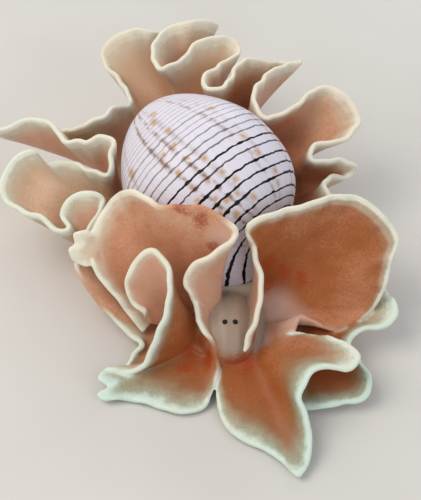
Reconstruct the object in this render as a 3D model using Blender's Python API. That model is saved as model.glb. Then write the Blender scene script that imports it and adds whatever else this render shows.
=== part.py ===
"""Brown-line paper bubble snail, life size, crawling with its head lobes and foot margin spread.

Modelled in millimetres with the head towards -Y and the floor at z = 0. The whole part is
scaled to metres and centred on its origin at the end.
"""

import math

import bmesh
import bpy
from mathutils import Matrix, Vector

# Driving sizes, in millimetres
MM = 0.001
GAP = 0.3  # kept between pieces that touch
SHEET_HALF = 0.6  # half the thickness of the lobes and the foot margin
MARGIN_LIP = 0.5  # how far the rounded edge runs past the margin
MERGE = 0.0001  # points closer than this are one point

# Shell: one wide whorl coiled about an axis that points to the front, left and a little down
SHELL_CENTRE = Vector((-0.76, 8.0, 20.0))
SHELL_AXIS = Vector((0.691, -0.668, -0.276)).normalized()
SHELL_HALF_LENGTH = 19.4
SHELL_LIP_RADIUS = 18.8
SHELL_GROWTH = 1.5  # radius of a turn over that of the turn before
SHELL_LIP_ANGLE = 110  # degrees about the axis from straight up, down the animal's right side
SHELL_APERTURE_ANGLE = 30  # degrees over which the outer wall drops to the turn inside
SHELL_FRONT_FULLNESS = 2.8  # 2 is an oval end, and more is blunter
SHELL_REAR_FULLNESS = 1.45
LIP_FLARE = 12.0  # how far the outer lip runs forward over the head
LIP_FLARE_SHARPNESS = 10  # how close to the front end the flare keeps
LIP_FULLNESS = 4.2  # how much fuller the whorl's front end grows towards the lip
LIP_FLARE_ANGLE = 60  # degrees over which the flare grows

# Foot: a flat sole with an oval outline, turned so that the tail points to the right
SOLE_CENTRE = Vector((-1.0, 5.0, 0.0))
SOLE_HALF_WIDTH = 16.0
SOLE_HALF_LENGTH = 33.0
SOLE_HEIGHT = 4.4
SOLE_ROUNDING = 1.4
SOLE_TURN = 8

# Trunk between sole and shell, and the head: ovals given by centre, three radii and turn
TRUNK = (Vector((0.0, 7.0, 5.0)), Vector((13.0, 22.0, 12.0)), SOLE_TURN)
HEAD = (Vector((3.8, -19.5, 3.4)), Vector((7.0, 9.4, 6.9)), 0)
MOUTH = (Vector((3.8, -28.6, 2.8)), Vector((2.8, 2.0, 0.7)), 0)
LOBE_ROOT_DEPTH = 0.86  # where the lobes start, as a part of the way to the head's surface

# Eyes: small dark spots sunk in the top of the head
EYE_RADIUS = 0.5
EYE_ROOM = 0.12  # gap between an eye and the head
EYE_SPACING = 2.0
EYES_MIDDLE = Vector((3.8, -23.0, 9.7))

# Head lobes, as ribs of root, middle and margin points, from the inner margin round the fan
LOBE_REAR_RIGHT = [
    ((-0.9, -21.0, 8.2), (-0.6, -20.6, 10.6), (-3.0, -21.5, 14.0)),
    ((-0.6, -20.1, 9.2), (0.5, -18.9, 14.0), (-4.8, -20.2, 17.5)),
    ((-0.3, -19.1, 10.0), (2.0, -17.3, 17.2), (-3.2, -19.0, 21.8)),
    ((0.0, -17.9, 10.7), (3.2, -16.1, 19.8), (0.8, -18.0, 24.2)),
    ((0.0, -16.7, 11.0), (3.6, -14.9, 21.6), (5.0, -14.9, 26.4)),
    ((-0.8, -15.9, 10.8), (0.8, -14.2, 20.8), (2.4, -13.2, 28.2)),
    ((-2.0, -15.3, 10.2), (-3.7, -13.8, 20.3), (-2.5, -11.9, 30.2)),
    ((-3.2, -14.8, 9.2), (-8.0, -13.2, 19.2), (-9.5, -10.0, 28.5)),
    ((-4.0, -14.2, 8.4), (-12.5, -11.5, 18.4), (-15.0, -6.0, 28.5)),
    ((-4.5, -13.5, 7.6), (-14.5, -11.0, 17.0), (-19.5, -2.5, 22.5)),
    ((-4.8, -14.0, 6.8), (-15.0, -12.5, 14.0), (-23.5, -7.0, 17.5)),
    ((-4.8, -14.6, 6.0), (-14.5, -14.3, 11.5), (-22.8, -13.0, 13.5)),
    ((-4.8, -15.3, 5.2), (-12.5, -16.8, 8.8), (-18.5, -17.3, 10.0)),
    ((-4.6, -16.0, 4.5), (-9.5, -18.2, 5.6), (-13.2, -21.7, 5.0)),
]
LOBE_REAR_LEFT = [
    ((8.5, -24.5, 7.0), (8.0, -26.0, 7.2), (6.5, -27.8, 7.2)),
    ((9.5, -21.7, 7.5), (9.2, -23.5, 10.3), (8.5, -25.0, 12.0)),
    ((10.0, -19.6, 8.2), (10.4, -20.0, 13.0), (9.5, -21.5, 15.5)),
    ((10.2, -18.0, 8.6), (11.0, -17.0, 15.0), (9.5, -18.0, 18.5)),
    ((10.2, -16.8, 8.8), (11.0, -15.0, 17.0), (8.5, -15.0, 21.5)),
    ((10.3, -15.7, 8.9), (11.0, -13.7, 18.5), (6.8, -13.4, 26.0)),
    ((10.5, -15.0, 8.7), (12.2, -12.7, 19.0), (10.0, -12.2, 27.8)),
    ((10.8, -14.7, 8.3), (15.0, -13.2, 18.5), (16.0, -9.5, 27.5)),
    ((11.2, -14.9, 7.6), (17.5, -13.2, 18.0), (22.0, -7.0, 27.5)),
    ((11.6, -15.6, 7.0), (20.0, -13.5, 17.0), (28.0, -5.0, 26.0)),
    ((11.8, -16.5, 6.3), (21.5, -14.5, 16.0), (33.0, -7.0, 23.5)),
    ((11.9, -17.4, 5.7), (22.0, -15.5, 14.5), (36.5, -10.5, 20.0)),
    ((12.0, -18.0, 5.4), (22.0, -16.5, 13.0), (35.0, -14.0, 17.0)),
    ((12.0, -18.6, 5.1), (21.0, -17.5, 11.5), (34.0, -17.0, 13.0)),
    ((11.9, -19.1, 4.9), (19.5, -18.5, 10.0), (31.0, -19.5, 9.5)),
    ((11.8, -19.6, 4.8), (17.5, -20.0, 8.6), (25.6, -22.4, 8.4)),
    ((11.6, -20.2, 4.7), (15.8, -21.0, 7.4), (20.4, -21.6, 8.0)),
    ((11.3, -20.9, 4.6), (14.2, -21.9, 6.4), (17.6, -22.6, 7.0)),
]
LOBE_FRONT_RIGHT = [
    ((-0.9, -21.8, 8.6), (-1.6, -22.8, 9.4), (-2.4, -23.4, 10.6)),
    ((-0.4, -22.6, 7.8), (-1.2, -24.0, 8.4), (-0.8, -25.2, 9.4)),
    ((0.3, -23.5, 6.8), (0.0, -25.5, 7.0), (0.5, -27.0, 7.2)),
    ((1.0, -25.2, 5.2), (0.8, -28.5, 4.6), (1.5, -30.0, 4.2)),
    ((0.8, -26.3, 3.9), (-1.5, -31.0, 2.8), (0.0, -34.5, 1.8)),
    ((0.0, -26.6, 3.2), (-3.0, -32.0, 2.4), (-1.5, -37.0, 1.4)),
    ((-0.8, -26.5, 2.9), (-5.5, -32.5, 2.2), (-6.0, -38.0, 1.2)),
    ((-1.6, -26.2, 2.7), (-8.5, -32.0, 2.2), (-12.0, -36.0, 1.2)),
    ((-2.2, -25.7, 2.6), (-10.5, -31.5, 2.5), (-17.0, -35.0, 1.4)),
    ((-2.7, -25.2, 2.6), (-11.0, -31.0, 2.8), (-20.5, -35.0, 1.6)),
    ((-3.1, -24.7, 2.7), (-11.3, -31.0, 2.8), (-20.5, -31.8, 2.4)),
    ((-3.5, -24.2, 3.0), (-10.5, -29.6, 3.2), (-15.8, -30.6, 3.8)),
    ((-3.8, -23.7, 3.5), (-9.0, -27.8, 3.9), (-12.5, -30.4, 6.0)),
    ((-4.0, -23.1, 4.2), (-8.0, -26.5, 5.2), (-11.0, -28.5, 9.5)),
    ((-4.0, -22.4, 5.0), (-7.2, -25.0, 7.2), (-9.0, -26.0, 14.0)),
    ((-3.9, -21.6, 5.7), (-7.0, -23.6, 9.5), (-7.5, -22.0, 18.5)),
    ((-3.8, -20.7, 6.0), (-7.6, -21.8, 11.5), (-8.5, -18.0, 21.0)),
    ((-3.8, -19.9, 5.9), (-9.6, -20.2, 12.5), (-10.5, -15.5, 22.0)),
    ((-3.9, -19.3, 5.4), (-11.7, -19.7, 11.7), (-13.5, -16.0, 20.0)),
    ((-4.1, -18.9, 4.8), (-12.7, -20.2, 10.2), (-16.0, -18.0, 17.0)),
    ((-4.3, -18.8, 4.1), (-12.3, -21.2, 8.8), (-15.5, -20.0, 13.0)),
    ((-4.4, -18.9, 3.4), (-11.3, -22.0, 7.8), (-12.5, -22.0, 11.0)),
]
LOBE_FRONT_LEFT = [
    ((2.6, -27.2, 3.0), (2.4, -28.6, 3.4), (1.8, -30.2, 3.0)),
    ((3.5, -27.4, 2.9), (3.6, -31.0, 3.2), (1.4, -34.7, 2.0)),
    ((4.4, -27.5, 2.8), (5.4, -34.5, 2.8), (2.2, -39.3, 1.4)),
    ((5.2, -27.4, 2.7), (7.8, -36.5, 2.6), (5.0, -43.3, 1.2)),
    ((6.0, -27.2, 2.7), (10.5, -38.5, 2.6), (10.0, -46.0, 1.2)),
    ((6.7, -26.9, 2.7), (12.5, -39.5, 2.8), (13.5, -49.0, 1.2)),
    ((7.3, -26.6, 2.8), (13.5, -39.5, 3.0), (16.0, -51.5, 1.2)),
    ((7.9, -26.2, 2.9), (14.0, -38.0, 3.8), (18.0, -48.0, 3.0)),
    ((8.4, -25.8, 3.0), (14.0, -36.0, 4.8), (18.0, -43.5, 5.5)),
    ((8.9, -25.3, 3.2), (13.5, -34.0, 5.8), (16.5, -39.5, 8.5)),
    ((9.3, -24.8, 3.4), (14.0, -32.0, 6.8), (18.0, -36.0, 10.5)),
    ((9.6, -24.4, 3.5), (15.5, -31.0, 7.8), (21.5, -34.5, 11.0)),
    ((9.9, -24.0, 3.7), (17.0, -30.0, 8.5), (25.5, -35.0, 11.0)),
    ((10.2, -23.6, 3.9), (17.5, -29.0, 8.8), (27.5, -32.5, 12.0)),
    ((10.4, -23.2, 4.1), (17.0, -27.4, 8.5), (24.0, -29.0, 12.0)),
    ((10.6, -22.8, 4.3), (15.0, -25.2, 7.5), (19.0, -26.0, 9.6)),
    ((10.8, -22.4, 4.5), (13.4, -23.7, 6.6), (15.5, -24.5, 8.1)),
]

# Foot margin, length by length from the front right round the tail to the front left: how far
# the length bellies out, then points of its edge as x, y, z and the angle in degrees of the
# point's root on the sole's outline
FRILL = {
    "frill_front_right": (3, [
        (-17.0, -29.6, 1.6, 232), (-16.4, -28.0, 2.4, 229.5), (-15.2, -26.2, 3.2, 227),
        (-13.4, -24.8, 4.2, 224.5), (-16.0, -21.5, 3.6, 221), (-20.6, -17.5, 5.2, 216.5),
        (-24.2, -14.4, 8.5, 211.5), (-27.1, -9.9, 11.8, 207.5),
    ]),
    "frill_right": (7, [
        (-24.5, -4.3, 16.5, 204), (-21.9, 1.1, 19.2, 201.5), (-25.4, 2.4, 19.9, 199),
        (-29.0, 1.5, 18.7, 197), (-30.3, -0.8, 17.0, 195), (-28.9, -3.5, 15.6, 193),
        (-31.4, -3.8, 15.6, 191), (-35.8, -1.4, 17.2, 189), (-41.0, 0.5, 18.5, 187),
        (-43.0, 4.0, 20.5, 185), (-40.5, 9.0, 23.0, 183), (-37.0, 11.0, 23.5, 181),
    ]),
    "frill_rear_right": (3, [
        (-34.5, 10.5, 20.5, 178.5), (-32.0, 11.5, 20.0, 176), (-28.5, 11.5, 19.5, 173.5),
        (-25.0, 9.5, 19.5, 171), (-21.0, 6.0, 21.5, 168.5), (-20.5, 9.5, 24.5, 166),
        (-20.5, 13.0, 25.0, 163.5), (-23.5, 14.0, 25.0, 161), (-26.0, 13.0, 24.0, 158.5),
        (-28.5, 14.0, 23.5, 156), (-31.0, 15.0, 23.0, 153.5), (-33.5, 18.0, 24.5, 151),
    ]),
    "frill_tail_right": (2, [
        (-38.0, 19.5, 25.0, 148), (-43.0, 17.5, 24.5, 145), (-47.0, 19.5, 21.0, 142),
        (-44.5, 23.5, 17.5, 139), (-38.0, 25.0, 16.5, 136), (-31.5, 23.0, 18.5, 133),
        (-27.0, 20.8, 22.5, 130), (-23.0, 21.5, 24.0, 127), (-21.0, 24.5, 24.0, 124),
        (-19.0, 28.0, 21.5, 121), (-18.0, 32.5, 19.0, 117), (-20.0, 38.0, 19.5, 113),
    ]),
    "frill_tail": (2, [
        (-23.4, 42.0, 20.8, 110), (-25.2, 45.4, 23.0, 107.5), (-22.5, 47.0, 26.0, 105),
        (-17.5, 47.5, 28.0, 103), (-13.5, 48.5, 26.5, 101), (-9.0, 52.5, 23.5, 99),
        (-3.5, 54.5, 22.5, 97), (1.5, 54.0, 24.5, 95), (-3.0, 51.0, 28.0, 93),
        (-10.5, 48.0, 27.5, 91), (-13.0, 40.5, 27.5, 89), (-11.0, 33.5, 27.5, 87),
    ]),
    "frill_tail_left": (2, [
        (-6.0, 38.5, 27.0, 85), (-2.5, 43.0, 28.0, 83), (3.0, 46.0, 27.0, 81),
        (6.5, 45.8, 25.0, 79), (5.5, 42.0, 24.5, 77), (2.0, 37.5, 25.5, 75.5),
        (-1.5, 31.0, 27.0, 73.5), (-0.5, 27.0, 27.0, 71.5),
    ]),
    "frill_rear_left": (2, [
        (3.0, 28.0, 27.0, 69.5), (5.0, 34.0, 26.0, 67.5),
        (8.0, 39.0, 26.0, 65.5), (11.5, 41.0, 24.0, 64), (16.0, 43.5, 21.5, 62.5),
        (20.5, 45.0, 21.0, 61), (20.5, 42.5, 22.5, 59.5), (17.0, 39.5, 24.0, 58),
        (13.0, 35.0, 25.0, 56.5),
        (10.0, 29.0, 26.0, 54.5), (9.5, 24.0, 26.0, 52.5), (12.0, 20.0, 24.5, 50),
        (15.5, 21.0, 25.5, 47.5), (19.5, 24.0, 26.0, 45), (23.5, 27.5, 27.0, 42),
        (29.0, 26.5, 26.0, 39), (32.0, 21.5, 23.0, 35), (28.0, 16.0, 22.0, 31),
    ]),
    "frill_left": (2, [
        (21.5, 13.5, 23.0, 27), (21.5, 10.0, 22.0, 23), (27.5, 12.0, 20.0, 19),
        (31.0, 12.0, 18.0, 15), (29.0, 11.0, 16.0, 11), (25.0, 8.5, 18.5, 7),
        (23.5, 5.5, 19.0, 3), (25.0, 2.5, 18.0, -2), (28.0, -1.0, 15.0, -9),
        (31.0, -6.0, 12.0, -16), (33.5, -10.5, 9.5, -22),
    ]),
    "frill_front_left": (1, [
        (35.5, -15.0, 8.5, -26), (36.5, -17.5, 9.0, -28.5), (36.5, -20.5, 9.0, -31),
        (34.5, -22.5, 8.0, -33.5), (31.0, -23.0, 7.5, -36), (28.0, -24.0, 7.0, -38.5),
        (27.0, -27.0, 6.5, -41), (29.0, -30.0, 5.5, -43.5), (30.5, -32.0, 5.0, -46),
        (30.0, -35.5, 4.0, -48.5), (27.5, -37.0, 3.2, -51), (25.0, -37.0, 2.8, -53.5),
        (21.0, -37.8, 2.6, -56), (17.2, -38.0, 2.2, -58.5),
    ]),
}
FRILL_ROOT_HEIGHT = 2.2
FRILL_ROOT_INSET = 1.2  # how far the roots start inside the sole's outline
FRILL_FOLD_REACH = 3  # ribs to each side over which the folds fade half way down

# Fineness of the solids
COLUMNS_PER_RIB = 2
ROWS = 4
RELAXING = 4  # passes that even out each sheet between its root and its margin
SHELL_TURN_STEPS = 48
SHELL_LENGTH_STEPS = 18
EYE_SEGMENTS = 14
EYE_RINGS = 8

COLOURS = {
    "shell": (0.80, 0.76, 0.80, 1.0),
    "eye": (0.03, 0.02, 0.05, 1.0),
    "head": (0.60, 0.47, 0.44, 1.0),
    "foot": (0.70, 0.42, 0.30, 1.0),
    "lobe": (0.72, 0.36, 0.20, 1.0),
    "frill": (0.78, 0.52, 0.38, 1.0),
}


def clear_scene():
    for old in list(bpy.data.objects):
        bpy.data.objects.remove(old, do_unlink=True)


def material(name, kind):
    """A soft wet flesh or a glossy shell, in the part's own colour."""
    made = bpy.data.materials.new(name)
    made.use_nodes = True
    shader = made.node_tree.nodes["Principled BSDF"]
    shader.inputs["Base Color"].default_value = COLOURS[kind]
    shader.inputs["Roughness"].default_value = 0.15 if kind in ("shell", "eye") else 0.4
    return made


def new_object(name, body, collection, kind):
    """Turns a bmesh into an object with its own material."""
    bmesh.ops.recalc_face_normals(body, faces=body.faces)
    mesh = bpy.data.meshes.new(name)
    body.to_mesh(mesh)
    body.free()
    mesh.shade_smooth()
    mesh.set_sharp_from_angle(angle=math.radians(50))
    made = bpy.data.objects.new(name, mesh)
    made.data.materials.append(material(name, kind))
    collection.objects.link(made)
    return made


def smooth_line(points, steps):
    """Points of a smooth curve through the given ones, with this many steps to a stretch."""
    first = points[0] * 2 - points[1]
    last = points[-1] * 2 - points[-2]
    padded = [first, *points, last]
    line = []
    for a, b, c, d in zip(padded, padded[1:], padded[2:], padded[3:]):
        for step in range(steps):
            t = step / steps
            curve = (a * 2 - b * 5 + c * 4 - d) * t + (b * 3 - c * 3 + d - a) * t * t
            line.append(b + ((c - a) + curve) * (t / 2))
    return [*line, points[-1].copy()]


def grid_through(ribs, columns, rows):
    """A smooth grid of columns, each running from the root to the margin of a rib."""
    lines = [smooth_line(rib, rows // 2) for rib in ribs]
    across = [smooth_line(list(row), columns) for row in zip(*lines)]
    return relaxed([list(column) for column in zip(*across)], RELAXING)


def relaxed(grid, passes):
    """The grid with its inner points drawn towards the mean of their neighbours."""
    for _ in range(passes):
        before = [list(column) for column in grid]
        for i in range(1, len(grid) - 1):
            for j in range(1, len(grid[i]) - 1):
                around = before[i - 1][j] + before[i + 1][j] + before[i][j - 1] + before[i][j + 1]
                grid[i][j] = (before[i][j] * 2 + around) / 6
    return grid


def grid_normal(grid, i, j):
    """Direction square to the grid at one of its points."""
    across = grid[min(i + 1, len(grid) - 1)][j] - grid[max(i - 1, 0)][j]
    along = grid[i][min(j + 1, len(grid[i]) - 1)] - grid[i][max(j - 1, 0)]
    return across.cross(along).normalized()


def grid_border(columns, rows):
    """Places round the edge of a grid: up the first column, along the margin and back."""
    up = [(0, j) for j in range(rows)]
    over = [(i, rows - 1) for i in range(1, columns)]
    down = [(columns - 1, j) for j in range(rows - 2, -1, -1)]
    back = [(i, 0) for i in range(columns - 2, 0, -1)]
    return up + over + down + back


def outward(grid, i, j, open_ends):
    """Step from a border point to the rounded edge past it, none on roots and parting faces."""
    step = Vector()
    if j == len(grid[i]) - 1:
        step += (grid[i][j] - grid[i][j - 1]).normalized()
    if j > 0 and i == 0 and open_ends[0]:
        step += (grid[0][j] - grid[1][j]).normalized()
    if j > 0 and i == len(grid) - 1 and open_ends[1]:
        step += (grid[i][j] - grid[i - 1][j]).normalized()
    return step.normalized() * MARGIN_LIP


def grid_normals(grid):
    """Direction square to the grid at each of its points."""
    rows = range(len(grid[0]))
    return [[grid_normal(grid, i, j) for j in rows] for i in range(len(grid))]


def thick_sheet(grid, normals, open_ends=(True, True)):
    """Gives a grid its thickness: both faces are split alike, and the margin is rounded."""
    columns, rows = len(grid), len(grid[0])
    body = bmesh.new()
    faces = {1: {}, -1: {}}
    for i in range(columns):
        for j in range(rows):
            for side in (1, -1):
                place = grid[i][j] + normals[i][j] * SHEET_HALF * side
                faces[side][i, j] = body.verts.new(place)
    for i in range(columns - 1):
        for j in range(rows - 1):
            for side in faces.values():
                a, b, c, d = side[i, j], side[i + 1, j], side[i + 1, j + 1], side[i, j + 1]
                body.faces.new((a, b, c))
                body.faces.new((a, c, d))
    border = grid_border(columns, rows)
    edge = {}
    for i, j in border:
        edge[i, j] = body.verts.new(grid[i][j] + outward(grid, i, j, open_ends))
    for here, after in zip(border, border[1:] + border[:1]):
        for side in faces.values():
            body.faces.new((side[here], side[after], edge[after]))
            body.faces.new((side[here], edge[after], edge[here]))
    return body


def turned(point, degrees):
    return Matrix.Rotation(math.radians(degrees), 3, "Z") @ point


def sole_outline(angle, offset=0.0):
    """Point of the sole's oval outline, moved outwards by the offset."""
    x = (SOLE_HALF_WIDTH + offset) * math.cos(math.radians(angle))
    y = (SOLE_HALF_LENGTH + offset) * math.sin(math.radians(angle))
    return SOLE_CENTRE + turned(Vector((x, y, 0.0)), SOLE_TURN)


def oval_body(centre, radii, turn, extra=0.0, segments=28, rings=16):
    """An oval with three radii, turned about Z and made larger all round by the extra."""
    body = bmesh.new()
    bmesh.ops.create_uvsphere(body, u_segments=segments, v_segments=rings, radius=1.0)
    for vert in body.verts:
        grown = Vector(radius + extra for radius in radii)
        vert.co = centre + turned(vert.co * grown, turn)
    return body


def cut_flat(body, height):
    """Cuts a body off level below a height and closes it there."""
    everything = body.verts[:] + body.edges[:] + body.faces[:]
    level = Vector((0.0, 0.0, height))
    cut = bmesh.ops.bisect_plane(
        body, geom=everything, plane_co=level, plane_no=(0.0, 0.0, 1.0), clear_inner=True
    )
    edges = [piece for piece in cut["geom_cut"] if isinstance(piece, bmesh.types.BMEdge)]
    bmesh.ops.edgeloop_fill(body, edges=edges)
    return body


def sole_body(extra=0.0):
    """A flat oval disc with a bevelled upper edge."""
    body = bmesh.new()
    bmesh.ops.create_cone(
        body, cap_ends=True, segments=56, radius1=1.0, radius2=1.0, depth=SOLE_HEIGHT + extra * 2
    )
    size = Vector((SOLE_HALF_WIDTH + extra, SOLE_HALF_LENGTH + extra, 1.0))
    lift = Vector((0.0, 0.0, SOLE_HEIGHT / 2))
    for vert in body.verts:
        vert.co = SOLE_CENTRE + lift + turned(vert.co * size, SOLE_TURN)
    top = [edge for edge in body.edges if all(v.co.z > SOLE_HEIGHT - 0.1 for v in edge.verts)]
    bmesh.ops.bevel(body, geom=top, offset=SOLE_ROUNDING, segments=2, affect="EDGES")
    return body


def shell_frame():
    """Directions across the shell's axis: to the top of the whorl, and to the animal's right."""
    up = Vector((0.0, 0.0, 1.0))
    top = (up - SHELL_AXIS * up.dot(SHELL_AXIS)).normalized()
    return top, SHELL_AXIS.cross(top).normalized()


def shell_point(turn, along, extra=0.0):
    """Point of the shell's outside, by its part of a turn from the lip and along the axis."""
    top, side = shell_frame()
    angle = math.radians(SHELL_LIP_ANGLE + 360 * turn)
    size = SHELL_GROWTH ** min(turn, 0)
    flare = max(0.0, 1 + turn * 360 / LIP_FLARE_ANGLE)
    if turn > 0:
        drop = min(1.0, turn * 360 / SHELL_APERTURE_ANGLE)
        size += (SHELL_GROWTH ** (turn - 1) - size) * drop
        flare = 1 - drop
    bearing = math.pi * along
    ahead = math.cos(bearing)
    height = (SHELL_HALF_LENGTH + extra) * ahead
    fullness = SHELL_REAR_FULLNESS
    if ahead > 0:
        height += LIP_FLARE * flare**2 * math.sin(2 * bearing) * ahead**LIP_FLARE_SHARPNESS
        fullness = SHELL_FRONT_FULLNESS + LIP_FULLNESS * flare**2
    radius = SHELL_LIP_RADIUS * (1 - abs(ahead) ** fullness) ** 0.5 * size
    outwards = top * math.cos(angle) + side * math.sin(angle)
    return SHELL_CENTRE + outwards * (radius + extra * math.sin(bearing)) + SHELL_AXIS * height


def shell_body(extra=0.0):
    """The closed outside of the last whorl, with the step of the lip along the aperture."""
    body = bmesh.new()
    ramp = SHELL_APERTURE_ANGLE / 360
    turns = [ramp / 2, ramp]
    steps = SHELL_TURN_STEPS
    turns += [ramp + (1 - ramp) * (step + 1) / steps for step in range(steps)]
    turns = [turn if turn <= ramp else turn - 1 for turn in turns]
    rings = [
        [body.verts.new(shell_point(turn, k / SHELL_LENGTH_STEPS, extra)) for turn in turns]
        for k in range(1, SHELL_LENGTH_STEPS)
    ]
    for ring, after in zip(rings, rings[1:]):
        for k in range(len(ring)):
            n = (k + 1) % len(ring)
            body.faces.new((ring[k], ring[n], after[n], after[k]))
    for ring, along in ((rings[0], 0.0), (rings[-1], 1.0)):
        pole = body.verts.new(shell_point(0.0, along, extra))
        for k in range(len(ring)):
            body.faces.new((ring[k], ring[(k + 1) % len(ring)], pole))
    bmesh.ops.triangulate(body, faces=body.faces)
    return body


def lobe_ribs(ribs):
    """Ribs of a head lobe, with each root drawn on to one level inside the head's surface."""
    centre, radii, _ = HEAD
    rooted = []
    for root, middle, margin in ribs:
        offset = Vector(root) - centre
        reach = Vector(offset[axis] / radii[axis] for axis in range(3)).length
        root = centre + offset * (LOBE_ROOT_DEPTH / reach)
        rooted.append([root, Vector(middle), Vector(margin)])
    return rooted


def eased(values, reach):
    """The same values, each averaged with its neighbours up to this many places away."""
    wide = [values[0]] * reach + values + [values[-1]] * reach
    spans = [wide[k : k + 2 * reach + 1] for k in range(len(values))]
    return [sum(span[1:], span[0].copy()) / len(span) for span in spans]


def frill_ribs():
    """Ribs of the whole foot margin, from its root on the sole to each point of its edge."""
    points = [(point, belly) for belly, length in FRILL.values() for point in length]
    roots = [sole_outline(point[3], -FRILL_ROOT_INSET) for point, _ in points]
    roots = [root + Vector((0.0, 0.0, FRILL_ROOT_HEIGHT)) for root in roots]
    edges = [Vector(point[:3]) for point, _ in points]
    bellies = [
        (sole_outline(point[3], 1.0) - sole_outline(point[3])) * belly
        - Vector((0.0, 0.0, belly / 4))
        for point, belly in points
    ]
    flowing = zip(roots, eased(edges, FRILL_FOLD_REACH), eased(bellies, FRILL_FOLD_REACH), edges)
    return [[root, (root + even) / 2 + belly, edge] for root, even, belly, edge in flowing]


def part_frill():
    """Cuts the foot margin's grid into its named lengths, parted by thin gaps."""
    grid = grid_through(frill_ribs(), COLUMNS_PER_RIB, ROWS)
    normals = grid_normals(grid)
    lengths = {}
    start = 0
    for name, (_, points) in FRILL.items():
        end = min(start + len(points) * COLUMNS_PER_RIB, len(grid) - 1)
        piece = [list(column) for column in grid[start : end + 1]]
        if start > 0:
            piece[0] = drawn_back(piece[0], piece[1])
        if end < len(grid) - 1:
            piece[-1] = drawn_back(piece[-1], piece[-2])
        ends = (start == 0, end == len(grid) - 1)
        lengths[name] = thick_sheet(piece, normals[start : end + 1], ends)
        start = end
    return lengths


def drawn_back(column, inner):
    """The end column of a length, drawn back from the parting by half the gap."""
    return [p + (q - p).normalized() * (GAP / 2) for p, q in zip(column, inner)]


def cutter(name, body, collection):
    made = new_object(name, body, collection, "foot")
    made.hide_render = True
    made.display_type = "WIRE"
    return made


def cut_clear(target, cutters):
    """Cuts a piece by each neighbour's enlarged form and keeps its largest closed surface."""
    for tool in cutters:
        cut = target.modifiers.new(tool.name, "BOOLEAN")
        cut.object = tool
        cut.operation = "DIFFERENCE"
        cut.solver = "EXACT"
    bpy.context.view_layer.update()
    evaluated = target.evaluated_get(bpy.context.evaluated_depsgraph_get())
    mesh = bpy.data.meshes.new_from_object(evaluated)
    target.modifiers.clear()
    target.data = largest_surface(mesh)
    target.data.name = target.name


def largest_surface(mesh):
    body = bmesh.new()
    body.from_mesh(mesh)
    bmesh.ops.remove_doubles(body, verts=body.verts, dist=MERGE)
    left = set(body.verts)
    groups = []
    while left:
        found = {left.pop()}
        edge = set(found)
        while edge:
            edge = {e.other_vert(v) for v in edge for e in v.link_edges} - found
            found |= edge
        left -= found
        groups.append(found)
    keep = max(groups, key=len)
    bmesh.ops.delete(body, geom=[v for v in body.verts if v not in keep], context="VERTS")
    body.to_mesh(mesh)
    body.free()
    return mesh


def settle(parts):
    """Scales the part to metres, with the middle of its lower side on the origin."""
    corners = [vert.co for part in parts for vert in part.data.vertices]
    low = Vector(min(corner[axis] for corner in corners) for axis in range(3))
    high = Vector(max(corner[axis] for corner in corners) for axis in range(3))
    origin = Vector(((low.x + high.x) / 2, (low.y + high.y) / 2, low.z))
    for part in parts:
        part.data.transform(Matrix.Scale(MM, 4) @ Matrix.Translation(-origin))
    return origin


def main():
    clear_scene()
    snail = bpy.data.collections.new("brown_line_paper_bubble_snail")
    cutters = bpy.data.collections.new("cutters")
    for group in (snail, cutters):
        bpy.context.scene.collection.children.link(group)

    shell_room = cutter("shell_room", shell_body(GAP), cutters)
    sole_room = cutter("sole_room", sole_body(GAP), cutters)
    head_room = cutter("head_room", oval_body(*HEAD, GAP), cutters)
    mouth = cutter("mouth", oval_body(*MOUTH, segments=16, rings=8), cutters)

    parts = [new_object("shell", shell_body(), snail, "shell")]
    head = new_object("head", cut_flat(oval_body(*HEAD), 0.0), snail, "head")
    sole = new_object("foot_sole", sole_body(), snail, "foot")
    trunk = new_object("trunk", oval_body(*TRUNK), snail, "foot")

    eye_rooms = []
    for name, side in (("eye_right", -1), ("eye_left", 1)):
        place = EYES_MIDDLE + Vector((side * EYE_SPACING / 2, 0.0, 0.0))
        radii = Vector((EYE_RADIUS, EYE_RADIUS, EYE_RADIUS))
        room = oval_body(place, radii, 0, EYE_ROOM, EYE_SEGMENTS, EYE_RINGS)
        eye_rooms.append(cutter(name + "_room", room, cutters))
        eye = oval_body(place, radii, 0, 0, EYE_SEGMENTS, EYE_RINGS)
        parts.append(new_object(name, eye, snail, "eye"))

    cut_clear(head, [shell_room, mouth, *eye_rooms])
    cut_clear(sole, [head_room])
    cut_clear(trunk, [sole_room, head_room, shell_room])
    parts += [head, sole, trunk]

    lobes = {
        "lobe_rear_right": LOBE_REAR_RIGHT,
        "lobe_rear_left": LOBE_REAR_LEFT,
        "lobe_front_right": LOBE_FRONT_RIGHT,
        "lobe_front_left": LOBE_FRONT_LEFT,
    }
    for name, ribs in lobes.items():
        grid = grid_through(lobe_ribs(ribs), COLUMNS_PER_RIB, ROWS)
        lobe = new_object(name, thick_sheet(grid, grid_normals(grid)), snail, "lobe")
        cut_clear(lobe, [head_room, shell_room, sole_room])
        parts.append(lobe)
    for name, body in part_frill().items():
        frill = new_object(name, body, snail, "frill")
        cut_clear(frill, [sole_room, head_room])
        parts.append(frill)
    return settle(parts)


ORIGIN = main()
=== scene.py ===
"""Brown-line paper bubble snail, life size: wet skin, lined shell and eyes in soft studio light.

Points of the body are in millimetres, with the head towards -Y and the floor at z = 0, as in the
part's solids. to_frame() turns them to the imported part's metres.
"""

import logging
import math
from dataclasses import dataclass, field
from enum import Enum
from typing import Any

import bpy
import numpy as np
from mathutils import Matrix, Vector
from mathutils.kdtree import KDTree


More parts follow.
